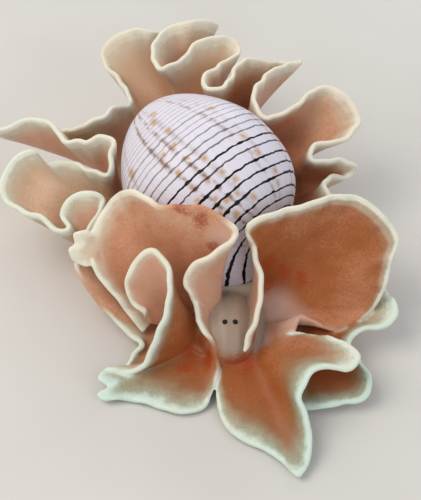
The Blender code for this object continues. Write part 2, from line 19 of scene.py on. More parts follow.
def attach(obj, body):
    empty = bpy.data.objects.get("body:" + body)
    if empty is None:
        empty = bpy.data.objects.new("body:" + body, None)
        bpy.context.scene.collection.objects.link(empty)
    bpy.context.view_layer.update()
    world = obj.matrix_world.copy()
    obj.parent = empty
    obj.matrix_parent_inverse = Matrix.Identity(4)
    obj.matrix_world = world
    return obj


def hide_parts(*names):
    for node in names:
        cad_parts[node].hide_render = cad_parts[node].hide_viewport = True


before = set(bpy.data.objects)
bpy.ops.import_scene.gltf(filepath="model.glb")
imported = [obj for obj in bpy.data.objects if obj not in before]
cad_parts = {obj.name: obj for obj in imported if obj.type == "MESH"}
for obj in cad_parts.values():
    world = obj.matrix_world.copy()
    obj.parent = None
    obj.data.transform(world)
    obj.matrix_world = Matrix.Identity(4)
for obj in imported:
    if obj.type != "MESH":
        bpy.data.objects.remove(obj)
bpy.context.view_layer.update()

LOG = logging.getLogger("bubble_snail")

Place = tuple[float, float, float]
Socket = bpy.types.NodeSocket
EASED = {"interpolation_type": "SMOOTHSTEP"}
MIXED = {"out": 2, "data_type": "RGBA"}

MM = 0.001
ORIGIN = np.array([-5.15638542, 1.4644165, 0.0])  # the part's origin, in the body's millimetres
UP = np.array([0.0, 0.0, 1.0])
FEW_PASSES = 3  # evening of the traits that keep a sharp edge
MANY_PASSES = 14  # evening of the others
ROUND = 6.28  # about one turn in radians, the range of the random phases
BODY_RED = 0.4  # how deep the head, trunk and sole are
BODY_EDGE = 25.0  # their distance from any edge

# Head lobes, as ribs of root, middle and margin points, from the inner margin round the fan
LOBE_REAR_RIGHT = [
    ((-0.9, -21.0, 8.2), (-0.6, -20.6, 10.6), (-3.0, -21.5, 14.0)),
    ((-0.6, -20.1, 9.2), (0.5, -18.9, 14.0), (-4.8, -20.2, 17.5)),
    ((-0.3, -19.1, 10.0), (2.0, -17.3, 17.2), (-3.2, -19.0, 21.8)),
    ((0.0, -17.9, 10.7), (3.2, -16.1, 19.8), (0.8, -18.0, 24.2)),
    ((0.0, -16.7, 11.0), (3.6, -14.9, 21.6), (5.0, -14.9, 26.4)),
    ((-0.8, -15.9, 10.8), (0.8, -14.2, 20.8), (2.4, -13.2, 28.2)),
    ((-2.0, -15.3, 10.2), (-3.7, -13.8, 20.3), (-2.5, -11.9, 30.2)),
    ((-3.2, -14.8, 9.2), (-8.0, -13.2, 19.2), (-9.5, -10.0, 28.5)),
    ((-4.0, -14.2, 8.4), (-12.5, -11.5, 18.4), (-15.0, -6.0, 28.5)),
    ((-4.5, -13.5, 7.6), (-14.5, -11.0, 17.0), (-19.5, -2.5, 22.5)),
    ((-4.8, -14.0, 6.8), (-15.0, -12.5, 14.0), (-23.5, -7.0, 17.5)),
    ((-4.8, -14.6, 6.0), (-14.5, -14.3, 11.5), (-22.8, -13.0, 13.5)),
    ((-4.8, -15.3, 5.2), (-12.5, -16.8, 8.8), (-18.5, -17.3, 10.0)),
    ((-4.6, -16.0, 4.5), (-9.5, -18.2, 5.6), (-13.2, -21.7, 5.0)),
]
LOBE_REAR_LEFT = [
    ((8.5, -24.5, 7.0), (8.0, -26.0, 7.2), (6.5, -27.8, 7.2)),
    ((9.5, -21.7, 7.5), (9.2, -23.5, 10.3), (8.5, -25.0, 12.0)),
    ((10.0, -19.6, 8.2), (10.4, -20.0, 13.0), (9.5, -21.5, 15.5)),
    ((10.2, -18.0, 8.6), (11.0, -17.0, 15.0), (9.5, -18.0, 18.5)),
    ((10.2, -16.8, 8.8), (11.0, -15.0, 17.0), (8.5, -15.0, 21.5)),
    ((10.3, -15.7, 8.9), (11.0, -13.7, 18.5), (6.8, -13.4, 26.0)),
    ((10.5, -15.0, 8.7), (12.2, -12.7, 19.0), (10.0, -12.2, 27.8)),
    ((10.8, -14.7, 8.3), (15.0, -13.2, 18.5), (16.0, -9.5, 27.5)),
    ((11.2, -14.9, 7.6), (17.5, -13.2, 18.0), (22.0, -7.0, 27.5)),
    ((11.6, -15.6, 7.0), (20.0, -13.5, 17.0), (28.0, -5.0, 26.0)),
    ((11.8, -16.5, 6.3), (21.5, -14.5, 16.0), (33.0, -7.0, 23.5)),
    ((11.9, -17.4, 5.7), (22.0, -15.5, 14.5), (36.5, -10.5, 20.0)),
    ((12.0, -18.0, 5.4), (22.0, -16.5, 13.0), (35.0, -14.0, 17.0)),
    ((12.0, -18.6, 5.1), (21.0, -17.5, 11.5), (34.0, -17.0, 13.0)),
    ((11.9, -19.1, 4.9), (19.5, -18.5, 9.8), (31.0, -19.8, 8.0)),
    ((11.8, -19.6, 4.8), (17.5, -20.0, 8.4), (25.6, -22.6, 6.8)),
    ((11.6, -20.2, 4.7), (15.8, -20.8, 7.6), (20.2, -21.6, 8.2)),
    ((11.3, -20.9, 4.6), (14.2, -21.2, 6.9), (17.7, -20.9, 9.2)),
]
LOBE_FRONT_RIGHT = [
    ((-0.9, -21.8, 8.6), (-1.6, -22.8, 9.4), (-2.4, -23.4, 10.6)),
    ((-0.4, -22.6, 7.8), (-1.2, -24.0, 8.4), (-0.8, -25.2, 9.4)),
    ((0.3, -23.5, 6.8), (0.0, -25.5, 7.0), (0.5, -27.0, 7.2)),
    ((1.0, -25.2, 5.2), (0.8, -28.5, 4.6), (1.5, -30.0, 4.2)),
    ((0.8, -26.3, 3.9), (-1.5, -31.0, 2.8), (0.0, -34.5, 1.8)),
    ((0.0, -26.6, 3.2), (-3.0, -32.0, 2.4), (-1.5, -37.0, 1.4)),
    ((-0.8, -26.5, 2.9), (-5.5, -32.5, 2.2), (-6.0, -38.0, 1.2)),
    ((-1.6, -26.2, 2.7), (-8.5, -32.0, 2.2), (-12.0, -36.0, 1.2)),
    ((-2.2, -25.7, 2.6), (-10.5, -31.5, 2.5), (-17.0, -35.2, 1.4)),
    ((-2.5, -25.4, 2.6), (-10.8, -31.4, 2.6), (-20.0, -35.6, 1.5)),
    ((-2.7, -25.2, 2.6), (-11.0, -31.2, 2.8), (-21.4, -34.3, 1.8)),
    ((-2.9, -24.9, 2.65), (-11.2, -31.1, 2.8), (-19.2, -33.0, 2.2)),
    ((-3.0, -24.8, 2.7), (-11.3, -31.0, 2.8), (-21.3, -31.7, 2.6)),
    ((-3.1, -24.7, 2.7), (-11.3, -30.9, 2.9), (-20.4, -29.9, 3.1)),
    ((-3.5, -24.2, 3.0), (-10.5, -29.6, 3.2), (-15.8, -30.6, 3.8)),
    ((-3.8, -23.7, 3.5), (-9.0, -27.8, 3.9), (-12.5, -30.4, 6.0)),
    ((-4.0, -23.1, 4.2), (-8.0, -26.5, 5.2), (-11.0, -28.5, 9.5)),
    ((-4.0, -22.4, 5.0), (-7.2, -25.0, 7.2), (-9.0, -26.0, 14.0)),
    ((-3.9, -21.6, 5.7), (-7.0, -23.6, 9.5), (-7.5, -22.0, 18.5)),
    ((-3.8, -20.7, 6.0), (-7.6, -21.8, 11.5), (-8.5, -18.0, 21.0)),
    ((-3.8, -19.9, 5.9), (-9.6, -20.2, 12.5), (-10.5, -15.5, 22.0)),
    ((-3.9, -19.3, 5.4), (-11.7, -19.7, 11.7), (-13.2, -15.5, 20.9)),
    ((-4.1, -18.9, 4.8), (-12.7, -20.2, 10.2), (-16.0, -18.0, 17.0)),
    ((-4.3, -18.8, 4.1), (-12.3, -21.2, 8.8), (-15.5, -20.0, 13.0)),
    ((-4.4, -18.9, 3.4), (-11.3, -22.0, 7.8), (-12.5, -22.0, 11.0)),
]
LOBE_FRONT_LEFT = [
    ((1.6, -26.6, 4.0), (1.4, -28.0, 4.5), (0.9, -29.3, 4.5)),
    ((2.6, -27.2, 3.0), (2.4, -28.6, 3.4), (1.8, -30.2, 3.0)),
    ((3.5, -27.4, 2.9), (3.6, -31.0, 3.2), (1.4, -34.7, 2.0)),
    ((4.4, -27.5, 2.8), (5.4, -34.5, 2.8), (2.2, -39.3, 1.4)),
    ((5.2, -27.4, 2.7), (7.8, -36.5, 2.6), (5.0, -43.3, 1.2)),
    ((6.0, -27.2, 2.7), (10.5, -38.5, 2.6), (10.0, -46.0, 1.2)),
    ((6.7, -26.9, 2.7), (12.5, -39.5, 2.8), (13.5, -49.0, 1.2)),
    ((7.3, -26.6, 2.8), (13.5, -39.5, 3.0), (16.0, -51.5, 1.2)),
    ((7.9, -26.2, 2.9), (14.0, -38.0, 3.8), (18.0, -48.0, 3.0)),
    ((8.4, -25.8, 3.0), (14.0, -36.0, 4.8), (18.0, -43.5, 5.5)),
    ((8.9, -25.3, 3.2), (13.5, -34.0, 5.8), (16.5, -39.5, 8.5)),
    ((9.3, -24.8, 3.4), (14.0, -32.0, 6.8), (18.0, -36.0, 10.5)),
    ((9.6, -24.4, 3.5), (15.5, -31.0, 7.8), (21.5, -34.5, 11.0)),
    ((9.9, -24.0, 3.7), (17.0, -30.0, 8.5), (25.5, -35.0, 11.0)),
    ((10.2, -23.6, 3.9), (17.5, -29.0, 8.8), (27.5, -32.5, 12.0)),
    ((10.4, -23.2, 4.1), (17.0, -27.4, 8.5), (24.0, -29.0, 12.0)),
    ((10.6, -22.8, 4.3), (15.0, -25.2, 7.5), (19.0, -26.0, 9.6)),
    ((10.8, -22.4, 4.5), (13.4, -23.7, 6.6), (15.5, -24.5, 8.1)),
]

# Small folds: the webs that join the left lobes and the right ones, and the ear beside the
# rear right lobe
LEFT_WEB = [
    ((11.3, -20.9, 4.6), (14.2, -21.2, 6.9), (17.7, -20.9, 9.2)),
    ((11.1, -21.6, 4.6), (13.9, -22.4, 6.6), (16.6, -22.6, 8.3)),
    ((10.8, -22.4, 4.5), (13.4, -23.7, 6.6), (15.9, -24.9, 8.1)),
]
RIGHT_WEB = [
    ((-0.9, -21.8, 8.6), (-1.6, -22.8, 9.4), (-2.4, -23.4, 10.6)),
    ((-0.9, -21.4, 8.4), (-1.2, -21.9, 9.9), (-2.6, -22.5, 12.3)),
    ((-0.9, -21.0, 8.2), (-0.8, -20.8, 10.5), (-3.0, -21.5, 14.0)),
]
RIGHT_EAR = [
    ((-22.4, -7.4, 17.2), (-23.4, -7.2, 17.8), (-24.2, -7.0, 18.5)),
    ((-22.5, -8.3, 16.5), (-24.8, -7.9, 17.6), (-26.8, -7.6, 18.2)),
    ((-22.5, -9.2, 15.9), (-25.0, -8.8, 16.2), (-26.6, -8.6, 16.3)),
    ((-22.5, -10.2, 15.2), (-25.4, -9.9, 15.9), (-27.8, -9.7, 16.0)),
    ((-22.4, -11.2, 14.5), (-25.2, -10.9, 14.5), (-27.0, -10.8, 14.0)),
    ((-22.3, -12.2, 13.9), (-23.6, -12.0, 13.7), (-24.6, -11.8, 13.4)),
]

# Foot margin from the front right round the tail to the front left: how far each length bellies
# out, the width of its pale border, how green the border and how red the face is, then points of
# its edge as x, y, z and the angle in degrees of the root on the sole
FOOT_MARGIN = [
    (3, 3.0, 0.7, 0.25, [
        (-17.0, -29.6, 1.6, 232), (-16.4, -28.0, 2.4, 229.5), (-15.2, -26.2, 3.2, 227),
        (-13.4, -24.8, 4.2, 224.5), (-16.0, -21.5, 3.6, 221),
    ]),
    (3, 0.3, 0.3, 0.2, [
        (-20.6, -17.5, 5.2, 216.5), (-24.2, -14.4, 8.5, 211.5), (-27.1, -9.9, 11.8, 207.5),
    ]),
    (7, 5.0, 0.5, 0.1, [
        (-24.5, -4.3, 16.5, 204), (-21.9, 1.1, 19.2, 201.5), (-25.4, 2.4, 19.9, 199),
        (-29.0, 1.5, 18.7, 197), (-30.3, -0.8, 17.0, 195), (-28.9, -3.5, 15.6, 193),
        (-31.4, -3.8, 15.6, 191), (-35.8, -1.4, 17.2, 189), (-41.0, 0.5, 18.5, 187),
        (-43.0, 4.0, 20.5, 185), (-40.5, 9.0, 23.0, 183), (-37.0, 11.0, 23.5, 181),
    ]),
    (3, 6.5, 0.4, 0.0, [
        (-34.5, 10.5, 20.5, 178.5), (-32.0, 11.5, 20.0, 176), (-28.5, 11.5, 19.5, 173.5),
        (-25.0, 9.5, 19.5, 171), (-21.0, 6.0, 21.5, 168.5), (-20.5, 9.5, 24.5, 166),
        (-20.5, 13.0, 25.0, 163.5), (-23.5, 14.0, 25.0, 161), (-26.0, 13.0, 24.0, 158.5),
        (-28.5, 14.0, 23.5, 156), (-31.0, 15.0, 23.0, 153.5), (-33.5, 18.0, 24.5, 151),
    ]),
    (2, 6.5, 0.4, -0.05, [
        (-38.0, 19.5, 25.0, 148), (-43.0, 17.5, 24.5, 145), (-47.0, 19.5, 21.0, 142),
        (-44.5, 23.5, 17.5, 139), (-38.0, 25.0, 16.5, 136), (-31.5, 23.0, 18.5, 133),
        (-27.0, 20.8, 22.5, 130), (-23.0, 21.5, 24.0, 127), (-21.0, 24.5, 24.0, 124),
        (-19.0, 28.0, 21.5, 121), (-18.0, 32.5, 19.0, 117), (-20.0, 38.0, 19.5, 113),
    ]),
    (2, 8.5, 0.2, -0.1, [
        (-23.4, 42.0, 20.8, 110), (-25.2, 45.4, 23.0, 107.5), (-22.5, 47.0, 26.0, 105),
        (-17.5, 47.5, 28.0, 103), (-13.5, 48.5, 26.5, 101), (-9.0, 52.5, 23.5, 99),
        (-3.5, 54.5, 22.5, 97), (1.5, 54.0, 24.5, 95), (-3.0, 51.0, 28.0, 93),
        (-10.5, 48.0, 27.5, 91), (-13.0, 40.5, 27.5, 89), (-11.0, 33.5, 27.5, 87),
    ]),
    (2, 7.5, 0.15, -0.05, [
        (-6.0, 38.5, 27.0, 85), (-2.5, 43.0, 28.0, 83), (3.0, 46.0, 27.0, 81),
        (6.5, 45.8, 25.0, 79), (5.5, 42.0, 24.5, 77), (2.0, 37.5, 25.5, 75.5),
        (-1.5, 31.0, 27.0, 73.5), (-0.5, 27.0, 27.0, 71.5),
    ]),
    (2, 6.5, 0.2, 0.25, [
        (3.0, 28.0, 27.0, 69.5), (5.0, 34.0, 26.0, 67.5),
        (8.0, 39.0, 26.0, 65.5), (11.5, 41.0, 24.0, 64), (16.0, 43.5, 21.5, 62.5),
        (20.5, 45.0, 21.0, 61), (20.5, 42.5, 22.5, 59.5), (17.0, 39.5, 24.0, 58),
        (13.0, 35.0, 25.0, 56.5),
        (10.0, 29.0, 26.0, 54.5), (9.5, 24.0, 26.0, 52.5), (12.0, 20.0, 24.5, 50),
        (15.5, 21.0, 25.5, 47.5), (19.5, 24.0, 26.0, 45), (23.5, 27.5, 27.0, 42),
        (29.0, 26.5, 26.0, 39), (32.0, 21.5, 23.0, 35), (28.0, 16.0, 22.0, 31),
    ]),
    (2, 4.5, 0.35, 0.4, [
        (21.5, 13.5, 23.0, 27), (21.5, 10.0, 22.0, 23), (27.5, 12.0, 20.0, 19),
        (31.0, 12.0, 18.0, 15), (29.0, 11.0, 16.0, 11), (25.0, 8.5, 18.5, 7),
        (23.5, 5.5, 19.0, 3), (25.0, 2.5, 18.0, -2), (28.0, -1.0, 15.0, -9),
        (31.0, -6.0, 12.0, -16), (33.5, -10.5, 9.5, -22),
    ]),
    (1, 8.0, 0.8, 0.45, [
        (35.5, -15.0, 8.5, -26), (36.5, -17.5, 9.0, -28.5), (36.5, -20.5, 9.0, -31),
        (34.5, -22.5, 8.0, -33.5),
    ]),
    # Painted shadow: this length's face is made deeper (0.9) and its border narrower where the wall
    # under the rear left lobe's lower edge lies in shade
    (1, 1.8, 0.8, 0.9, [
        (31.0, -23.0, 7.5, -36), (28.0, -24.0, 7.0, -38.5), (27.0, -27.0, 6.5, -41),
        (29.0, -30.0, 5.5, -43.5),
    ]),
    (1, 3.6, 1.0, 0.75, [
        (30.5, -32.0, 5.0, -46), (30.0, -35.5, 4.0, -48.5), (27.5, -37.0, 3.2, -51),
        (25.0, -37.0, 2.8, -53.5), (21.0, -37.8, 2.6, -56), (17.2, -38.0, 2.2, -58.5),
    ]),
]


def to_frame(points: np.ndarray) -> np.ndarray:
    """Turns the body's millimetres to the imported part's metres."""
    return (np.asarray(points, float) - ORIGIN) * MM


def linear(hex_colour: str) -> tuple[float, float, float, float]:
    """Turns an sRGB hex colour to linear red, green, blue and full cover.

    Args:
        hex_colour: Six hex digits.

    Returns:
        The linear colour, with 1.0 as its fourth value.
    """
    shares = [int(hex_colour[k : k + 2], 16) / 255 for k in (0, 2, 4)]
    made = [s / 12.92 if s <= 0.04045 else ((s + 0.055) / 1.055) ** 2.4 for s in shares]
    return (made[0], made[1], made[2], 1.0)


def per_metre(size_mm: float) -> float:
    """Texture scale at which one cell of a pattern is this many millimetres wide."""
    return 1.0 / (size_mm * MM)


class Paint:
    """A node material in the making, with what the parts of a finish share."""

    def __init__(self, name: str) -> None:
        """Starts the material.

        Args:
            name: The substance and how its surface was made.
        """
        self.made = bpy.data.materials.new(name)
        self.made.use_nodes = True
        self.known: dict[Any, Socket] = {"place": self.add("TexCoord", out="Object")}

    def feed(self, node: bpy.types.Node, values: dict[int | str, Any] | tuple) -> None:
        """Gives a node's inputs another node's output, a number or a hex colour each.

        Args:
            node: The node.
            values: What goes in, in the inputs' order or by their names or numbers.
        """
        pairs = values.items() if isinstance(values, dict) else enumerate(values)
        for socket, value in pairs:
            if isinstance(value, Socket):
                self.made.node_tree.links.new(value, node.inputs[socket])
            else:
                plain = linear(value) if isinstance(value, str) else value
                node.inputs[socket].default_value = plain

    def add(
        self,
        kind: str,
        values: dict[int | str, Any] | tuple = (),
        out: int | str = 0,
        ramp: tuple[tuple[float, str], ...] = (),
        **settings: Any,
    ) -> Socket:
        """Adds a node with its settings and links.

        Args:
            kind: Blender's name for the node's type, without its prefix.
            values: What goes in at its inputs.
            out: The output to give back.
            ramp: Places and hex colours of a colour ramp, in order.
            settings: The node's own properties.

        Returns:
            The chosen output.
        """
        node = self.made.node_tree.nodes.new("ShaderNode" + kind)
        for key, value in settings.items():
            setattr(node, key, value)
        stops = node.color_ramp.elements if ramp else ()
        while len(stops) < len(ramp):
            stops.new(1.0)
        for stop, (place, colour) in zip(stops, ramp):
            stop.position = place
            stop.color = linear(colour)
        self.feed(node, values)
        return node.outputs[out]

    def done(self, values: dict[int | str, Any]) -> bpy.types.Material:
        """Finishes the material.

        Args:
            values: What goes in at the Principled shader's inputs.

        Returns:
            The material.
        """
        self.feed(self.made.node_tree.nodes["Principled BSDF"], values)
        return self.made


SHELL_MARKS = ("line_number", "spacing_mm", "width_mm", "darkness", "sweep_mm", "growth", "spots")


class Trait(Enum):
    """What the skin's mesh knows at each of its points, as named attributes."""

    RIM = "rim"  # distance to the edge over the width of the pale border there
    EDGE = "edge_mm"  # distance to the edge
    PALE = "pale"  # 1 where the edge has a pale border and 0 where it is bare
    INNER = "inner"  # 1 on the upper, inner face and 0 on the outer one
    DEPTH = "depth"  # 0 at the root and 1 at the edge
    MINT = "mint"  # how green the pale border is
    RED = "red"  # how deep and red the face is
    HEAD = "head"  # 1 on the head's own flesh
    MANTLE = "mantle"  # 1 on the band of mantle under the shell's lip
    BLUSH = "blush"  # crimson patches
    ROSE = "rose"  # greyish pink flesh round the head
    LOBE = "lobe"  # the lobes' own colour where they run on over the head


@dataclass(frozen=True)
class WetSkin:
    """Skin of a live sea snail: translucent flesh under a film of slime, finely grained."""

    pale: str = "E0BC9E"
    tan: str = "C98E6C"
    brown: str = "A15B2E"
    deep: str = "803611"
    crimson: str = "9F3E14"
    rose: str = "D0A997"
    cream: str = "DCCFB8"
    mint: str = "A8B8A2"
    # Painted highlight: a brighter cream to mint-white glow laid along the very edge, over the pale
    # border
    cream_rim_highlight: str = "EEE4D0"
    mint_rim_highlight: str = "DCF0E6"
    outer: str = "C98F73"
    outer_pale: str = "D6AC92"
    head: str = "A6907E"
    streak: str = "978677"
    mantle: str = "C6C1AE"
    olive: str = "8A6B47"
    # Width in millimetres of a cell of each noise, octaves of finer noise and share in the tone
    noises: tuple[tuple[str, float, float, float], ...] = (
        ("grain", 0.38, 2.0, 0.3),
        ("mottle", 2.6, 3.0, 0.16),
        ("cloud", 10.0, 2.0, 0.4),
    )
    noise_roughness: float = 0.55
    depth_share: float = -0.16  # how much paler the face is at its edge than at its root
    deepened: float = 0.1  # how much deeper the whole face is
    olive_share: float = 0.6
    # Streaks of the head, many times as long as they are wide
    streak_mm: Place = (1.3, 16.0, 12.0)
    blush_share: float = 0.7
    border_softness: float = 1.15
    # Painted highlight along the edge: its strength, its width in millimetres at the edge, and the
    # part of the border's width over which it also spreads
    rim_highlight_share: float = 0.75
    edge_mm: float = 0.8
    rim_highlight_spread: float = 0.34
    roughness: float = 0.44
    coat: float = 0.16
    coat_roughness: float = 0.3

    def material(self) -> bpy.types.Material:
        """Builds the skin's material, whose border, faces and blushes follow the mesh's traits.

        Returns:
            The material.
        """
        paint = Paint("live_snail_flesh_wet")
        known = paint.known
        for each in Trait:
            known[each] = paint.add("Attribute", out="Fac", attribute_name=each.value)
        for name, size, detail, _ in self.noises:
            noise = {"Scale": per_metre(size), "Detail": detail}
            noise |= {"Vector": known["place"], "Roughness": self.noise_roughness}
            known[name] = paint.add("TexNoise", noise)
        face = self._face(paint)
        colour = self.outer_pale
        for share, above in (
            (known["mottle"], self.outer),
            (known[Trait.INNER], face),
            (known[Trait.ROSE], self.rose),
            (known[Trait.HEAD], self._head(paint)),
            (known[Trait.LOBE], face),
            (known[Trait.MANTLE], self.mantle),
            (self._blush(paint), self.crimson),
            *self._border(paint),
        ):
            colour = paint.add("Mix", {0: share, 6: colour, 7: above}, **MIXED)
        # Slime gives a soft gloss, light in the flesh rounds its folds, and a fine leathery
        # grain breaks both up
        rough = (known["mottle"], 0.5, known["grain"])
        rough = paint.add("Math", rough, operation="MULTIPLY_ADD")
        return paint.done({
            "Base Color": colour,
            "Roughness": self.roughness,
            "IOR": 1.38,
            "Specular IOR Level": 0.25,
            "Subsurface Weight": 0.3,
            "Subsurface Radius": (1.0, 0.45, 0.3),
            "Subsurface Scale": 0.0011,
            "Coat Weight": self.coat,
            "Coat Roughness": self.coat_roughness,
            "Normal": paint.add("Bump", {"Height": rough, "Strength": 0.25, "Distance": 0.0002}),
        })

    def _face(self, paint: Paint) -> Socket:
        """Upper faces from pale pink to deep orange-brown, deeper towards the root.

        Args:
            paint: The skin's paint.

        Returns:
            The colour, which is olive beside green borders.
        """
        known = paint.known
        tone = (known[Trait.DEPTH], self.depth_share, known[Trait.RED])
        tone = paint.add("Math", tone, operation="MULTIPLY_ADD")
        mean = -self.deepened
        for name, _, _, share in self.noises:
            tone = paint.add("Math", (known[name], share, tone), operation="MULTIPLY_ADD")
            mean += share / 2
        tone = paint.add("Math", (tone, mean), operation="SUBTRACT")
        ramp = ((0.0, self.pale), (0.3, self.tan), (0.62, self.brown), (1.0, self.deep))
        colour = paint.add("ValToRGB", (tone,), ramp=ramp)
        near = (known[Trait.RIM], 1.8, 0.6, 0.0, self.olive_share)
        near = paint.add("MapRange", near, **EASED)
        share = paint.add("Math", (near, known[Trait.MINT]), operation="MULTIPLY")
        return paint.add("Mix", {0: share, 6: colour, 7: self.olive}, **MIXED)

    def _head(self, paint: Paint) -> Socket:
        """Smooth grey-pink head with faint streaks that run forward and down.

        Args:
            paint: The skin's paint.

        Returns:
            The colour.
        """
        sizes = tuple(per_metre(size) for size in self.streak_mm)
        place = {"Vector": paint.known["place"], "Scale": sizes}
        noise = {"Vector": paint.add("Mapping", place), "Scale": 1.0, "Detail": 1.0}
        streaks = paint.add("TexNoise", noise)
        return paint.add("ValToRGB", (streaks,), ramp=((0.4, self.head), (0.7, self.streak)))

    def _blush(self, paint: Paint) -> Socket:
        """Crimson patches, which the noises make ragged.

        Args:
            paint: The skin's paint.

        Returns:
            Their share in the colour.
        """
        known = paint.known
        ragged = (known["grain"], 0.6, known["mottle"])
        ragged = paint.add("Math", ragged, operation="MULTIPLY_ADD")
        ragged = (known[Trait.BLUSH], 0.55, ragged)
        ragged = paint.add("Math", ragged, operation="MULTIPLY_ADD")
        return paint.add("MapRange", (ragged, 0.95, 1.4, 0.0, self.blush_share), **EASED)

    def _border(self, paint: Paint) -> list[tuple[Socket, Socket]]:
        """Pale border along every edge, cream to mint green, that fades into the face.

        Args:
            paint: The skin's paint.

        Returns:
            The share and the colour of the border, and of the painted highlight and glow along its
            edge.
        """
        known = paint.known
        uneven = paint.add("Math", (known["mottle"], 0.5), operation="SUBTRACT")
        wavy = paint.add("Math", (uneven, 0.5, known[Trait.RIM]), operation="MULTIPLY_ADD")
        fine = paint.add("Math", (known["grain"], 0.9, 0.4), operation="MULTIPLY_ADD")
        soft = paint.add("MapRange", (wavy, 1.1, 0.0), **EASED)
        soft = paint.add("Math", (soft, self.border_softness), operation="POWER")
        soft = paint.add("Math", (soft, known[Trait.PALE]), operation="MULTIPLY")
        soft = paint.add("Math", (soft, fine), operation="MULTIPLY", use_clamp=True)
        # Painted highlight: a brighter band at the very edge and over the border's inner part, only
        # where the edge has a pale border
        edge = (known[Trait.EDGE], self.edge_mm, 0.0, 0.0, self.rim_highlight_share)
        edge = paint.add("MapRange", edge, **EASED)
        wide = (wavy, self.rim_highlight_spread, 0.0, 0.0, self.rim_highlight_share)
        wide = paint.add("MapRange", wide, **EASED)
        edge = paint.add("Math", (edge, wide), operation="MAXIMUM")
        edge = paint.add("Math", (edge, known[Trait.PALE]), operation="MULTIPLY")
        pale, highlight_colour = (
            paint.add("Mix", {0: known[Trait.MINT], 6: cream, 7: mint}, **MIXED)
            for cream, mint in ((self.cream, self.mint), (self.cream_rim_highlight, self.mint_rim_highlight))
        )
        return [(soft, pale), (edge, highlight_colour)]


@dataclass(frozen=True)
class LinedShell:
    """Thin polished shell: lavender-white with dark spiral lines under a clear glossy skin."""

    ground: str = "EAE7F2"
    shade: str = "D3CBD6"
    growth: str = "8F6B4C"
    tan: str = "C08A26"
    ink: str = "120B0A"
    thin_ink: str = "5E5A50"
    line_edge_mm: float = 0.12
    swell_mm: float = 1.3
    kink: float = 0.3
    # Width in millimetres of the breaks in each kind of mark, and where they start and end
    growth_breaks: Place = (1.6, 0.35, 0.65)
    spot_breaks: Place = (0.8, 0.22, 0.48)
    roughness: float = 0.38

    def material(self) -> bpy.types.Material:
        """Builds the shell's material, whose lines and marks follow the mesh's attributes.

        Returns:
            The material.
        """
        paint = Paint("aragonite_shell_polished")
        for name in SHELL_MARKS:
            paint.known[name] = paint.add("Attribute", out="Fac", attribute_name=name)
        ink = {0: paint.known["darkness"], 6: self.thin_ink, 7: self.ink}
        ink = paint.add("Mix", ink, **MIXED)
        lined = {0: self._inked(paint), 6: self._ground(paint), 7: ink}
        return paint.done({
            "Base Color": paint.add("Mix", lined, **MIXED),
            "Roughness": self.roughness,
            "IOR": 1.53,
            "Specular IOR Level": 0.15,
            "Coat Weight": 0.05,
            "Coat Roughness": 0.25,
        })

    def _inked(self, paint: Paint) -> Socket:
        """Lines that swell and thin, with small kinks that are alike on neighbours.

        Args:
            paint: The shell's paint.

        Returns:
            The ink's share in the colour.
        """
        known = paint.known
        slow = paint.add("Math", (known["line_number"], 0.35), operation="MULTIPLY")
        along = paint.add("CombineXYZ", (known["sweep_mm"], slow))
        kinks = paint.add("TexNoise", {"Vector": along, "Scale": 0.55, "Detail": 2.5})
        kinks = (kinks, self.kink, -self.kink / 2)
        kinks = paint.add("Math", kinks, operation="MULTIPLY_ADD")
        wavy = paint.add("Math", (known["line_number"], kinks), operation="ADD")
        # Half a spacing to and fro is the distance to the nearest line
        off = paint.add("Math", (wavy, 0.5), operation="PINGPONG")
        off = paint.add("Math", (off, known["spacing_mm"]), operation="MULTIPLY")
        noise = {"Vector": known["place"], "Scale": per_metre(self.swell_mm), "Detail": 2.0}
        swell = paint.add("TexNoise", noise)
        swell = paint.add("Math", (swell, 1.5, -0.05), operation="MULTIPLY_ADD")
        swell = paint.add("Math", (known["growth"], 0.9, swell), operation="MULTIPLY_ADD")
        half = paint.add("Math", (known["width_mm"], swell), operation="MULTIPLY")
        outside = paint.add("Math", (half, self.line_edge_mm), operation="ADD")
        inked = (off, half, outside, known["darkness"], 0.0)
        return paint.add("MapRange", inked, **EASED)

    def _ground(self, paint: Paint) -> Socket:
        """Lavender-white ground with growth marks and squarish tan spots along them.

        Args:
            paint: The shell's paint.

        Returns:
            The colour.
        """
        known = paint.known
        along = paint.add("CombineXYZ", (known["sweep_mm"],))
        streaks = paint.add("TexNoise", {"Vector": along, "Scale": 0.9, "Detail": 3.0})
        colour = {0: streaks, 6: self.ground, 7: self.shade}
        colour = paint.add("Mix", colour, **MIXED)
        for name, mark, (size, low, high) in (
            ("growth", self.growth, self.growth_breaks),
            ("spots", self.tan, self.spot_breaks),
        ):
            noise = {"Vector": known["place"], "Scale": per_metre(size), "Detail": 2.0}
            share = (paint.add("TexNoise", noise), low, high, 0.0, known[name])
            share = paint.add("MapRange", share, **EASED)
            colour = paint.add("Mix", {0: share, 6: colour, 7: mark}, **MIXED)
        return colour


@dataclass(frozen=True)
class EyePigment:
    """Dark eye spot just under clear skin, so that its gloss is soft and its colour violet."""

    pupil: str = "17101C"
    rim: str = "3A2A3C"

    def material(self) -> bpy.types.Material:
        """Builds the eye's material.

        Returns:
            The material.
        """
        paint = Paint("eye_pigment_under_skin")
        facing = paint.add("LayerWeight", {"Blend": 0.4}, out="Facing")
        colour = paint.add("ValToRGB", (facing,), ramp=((0.3, self.pupil), (1.0, self.rim)))
        return paint.done({"Base Color": colour, "Roughness": 0.45, "Specular IOR Level": 0.25})


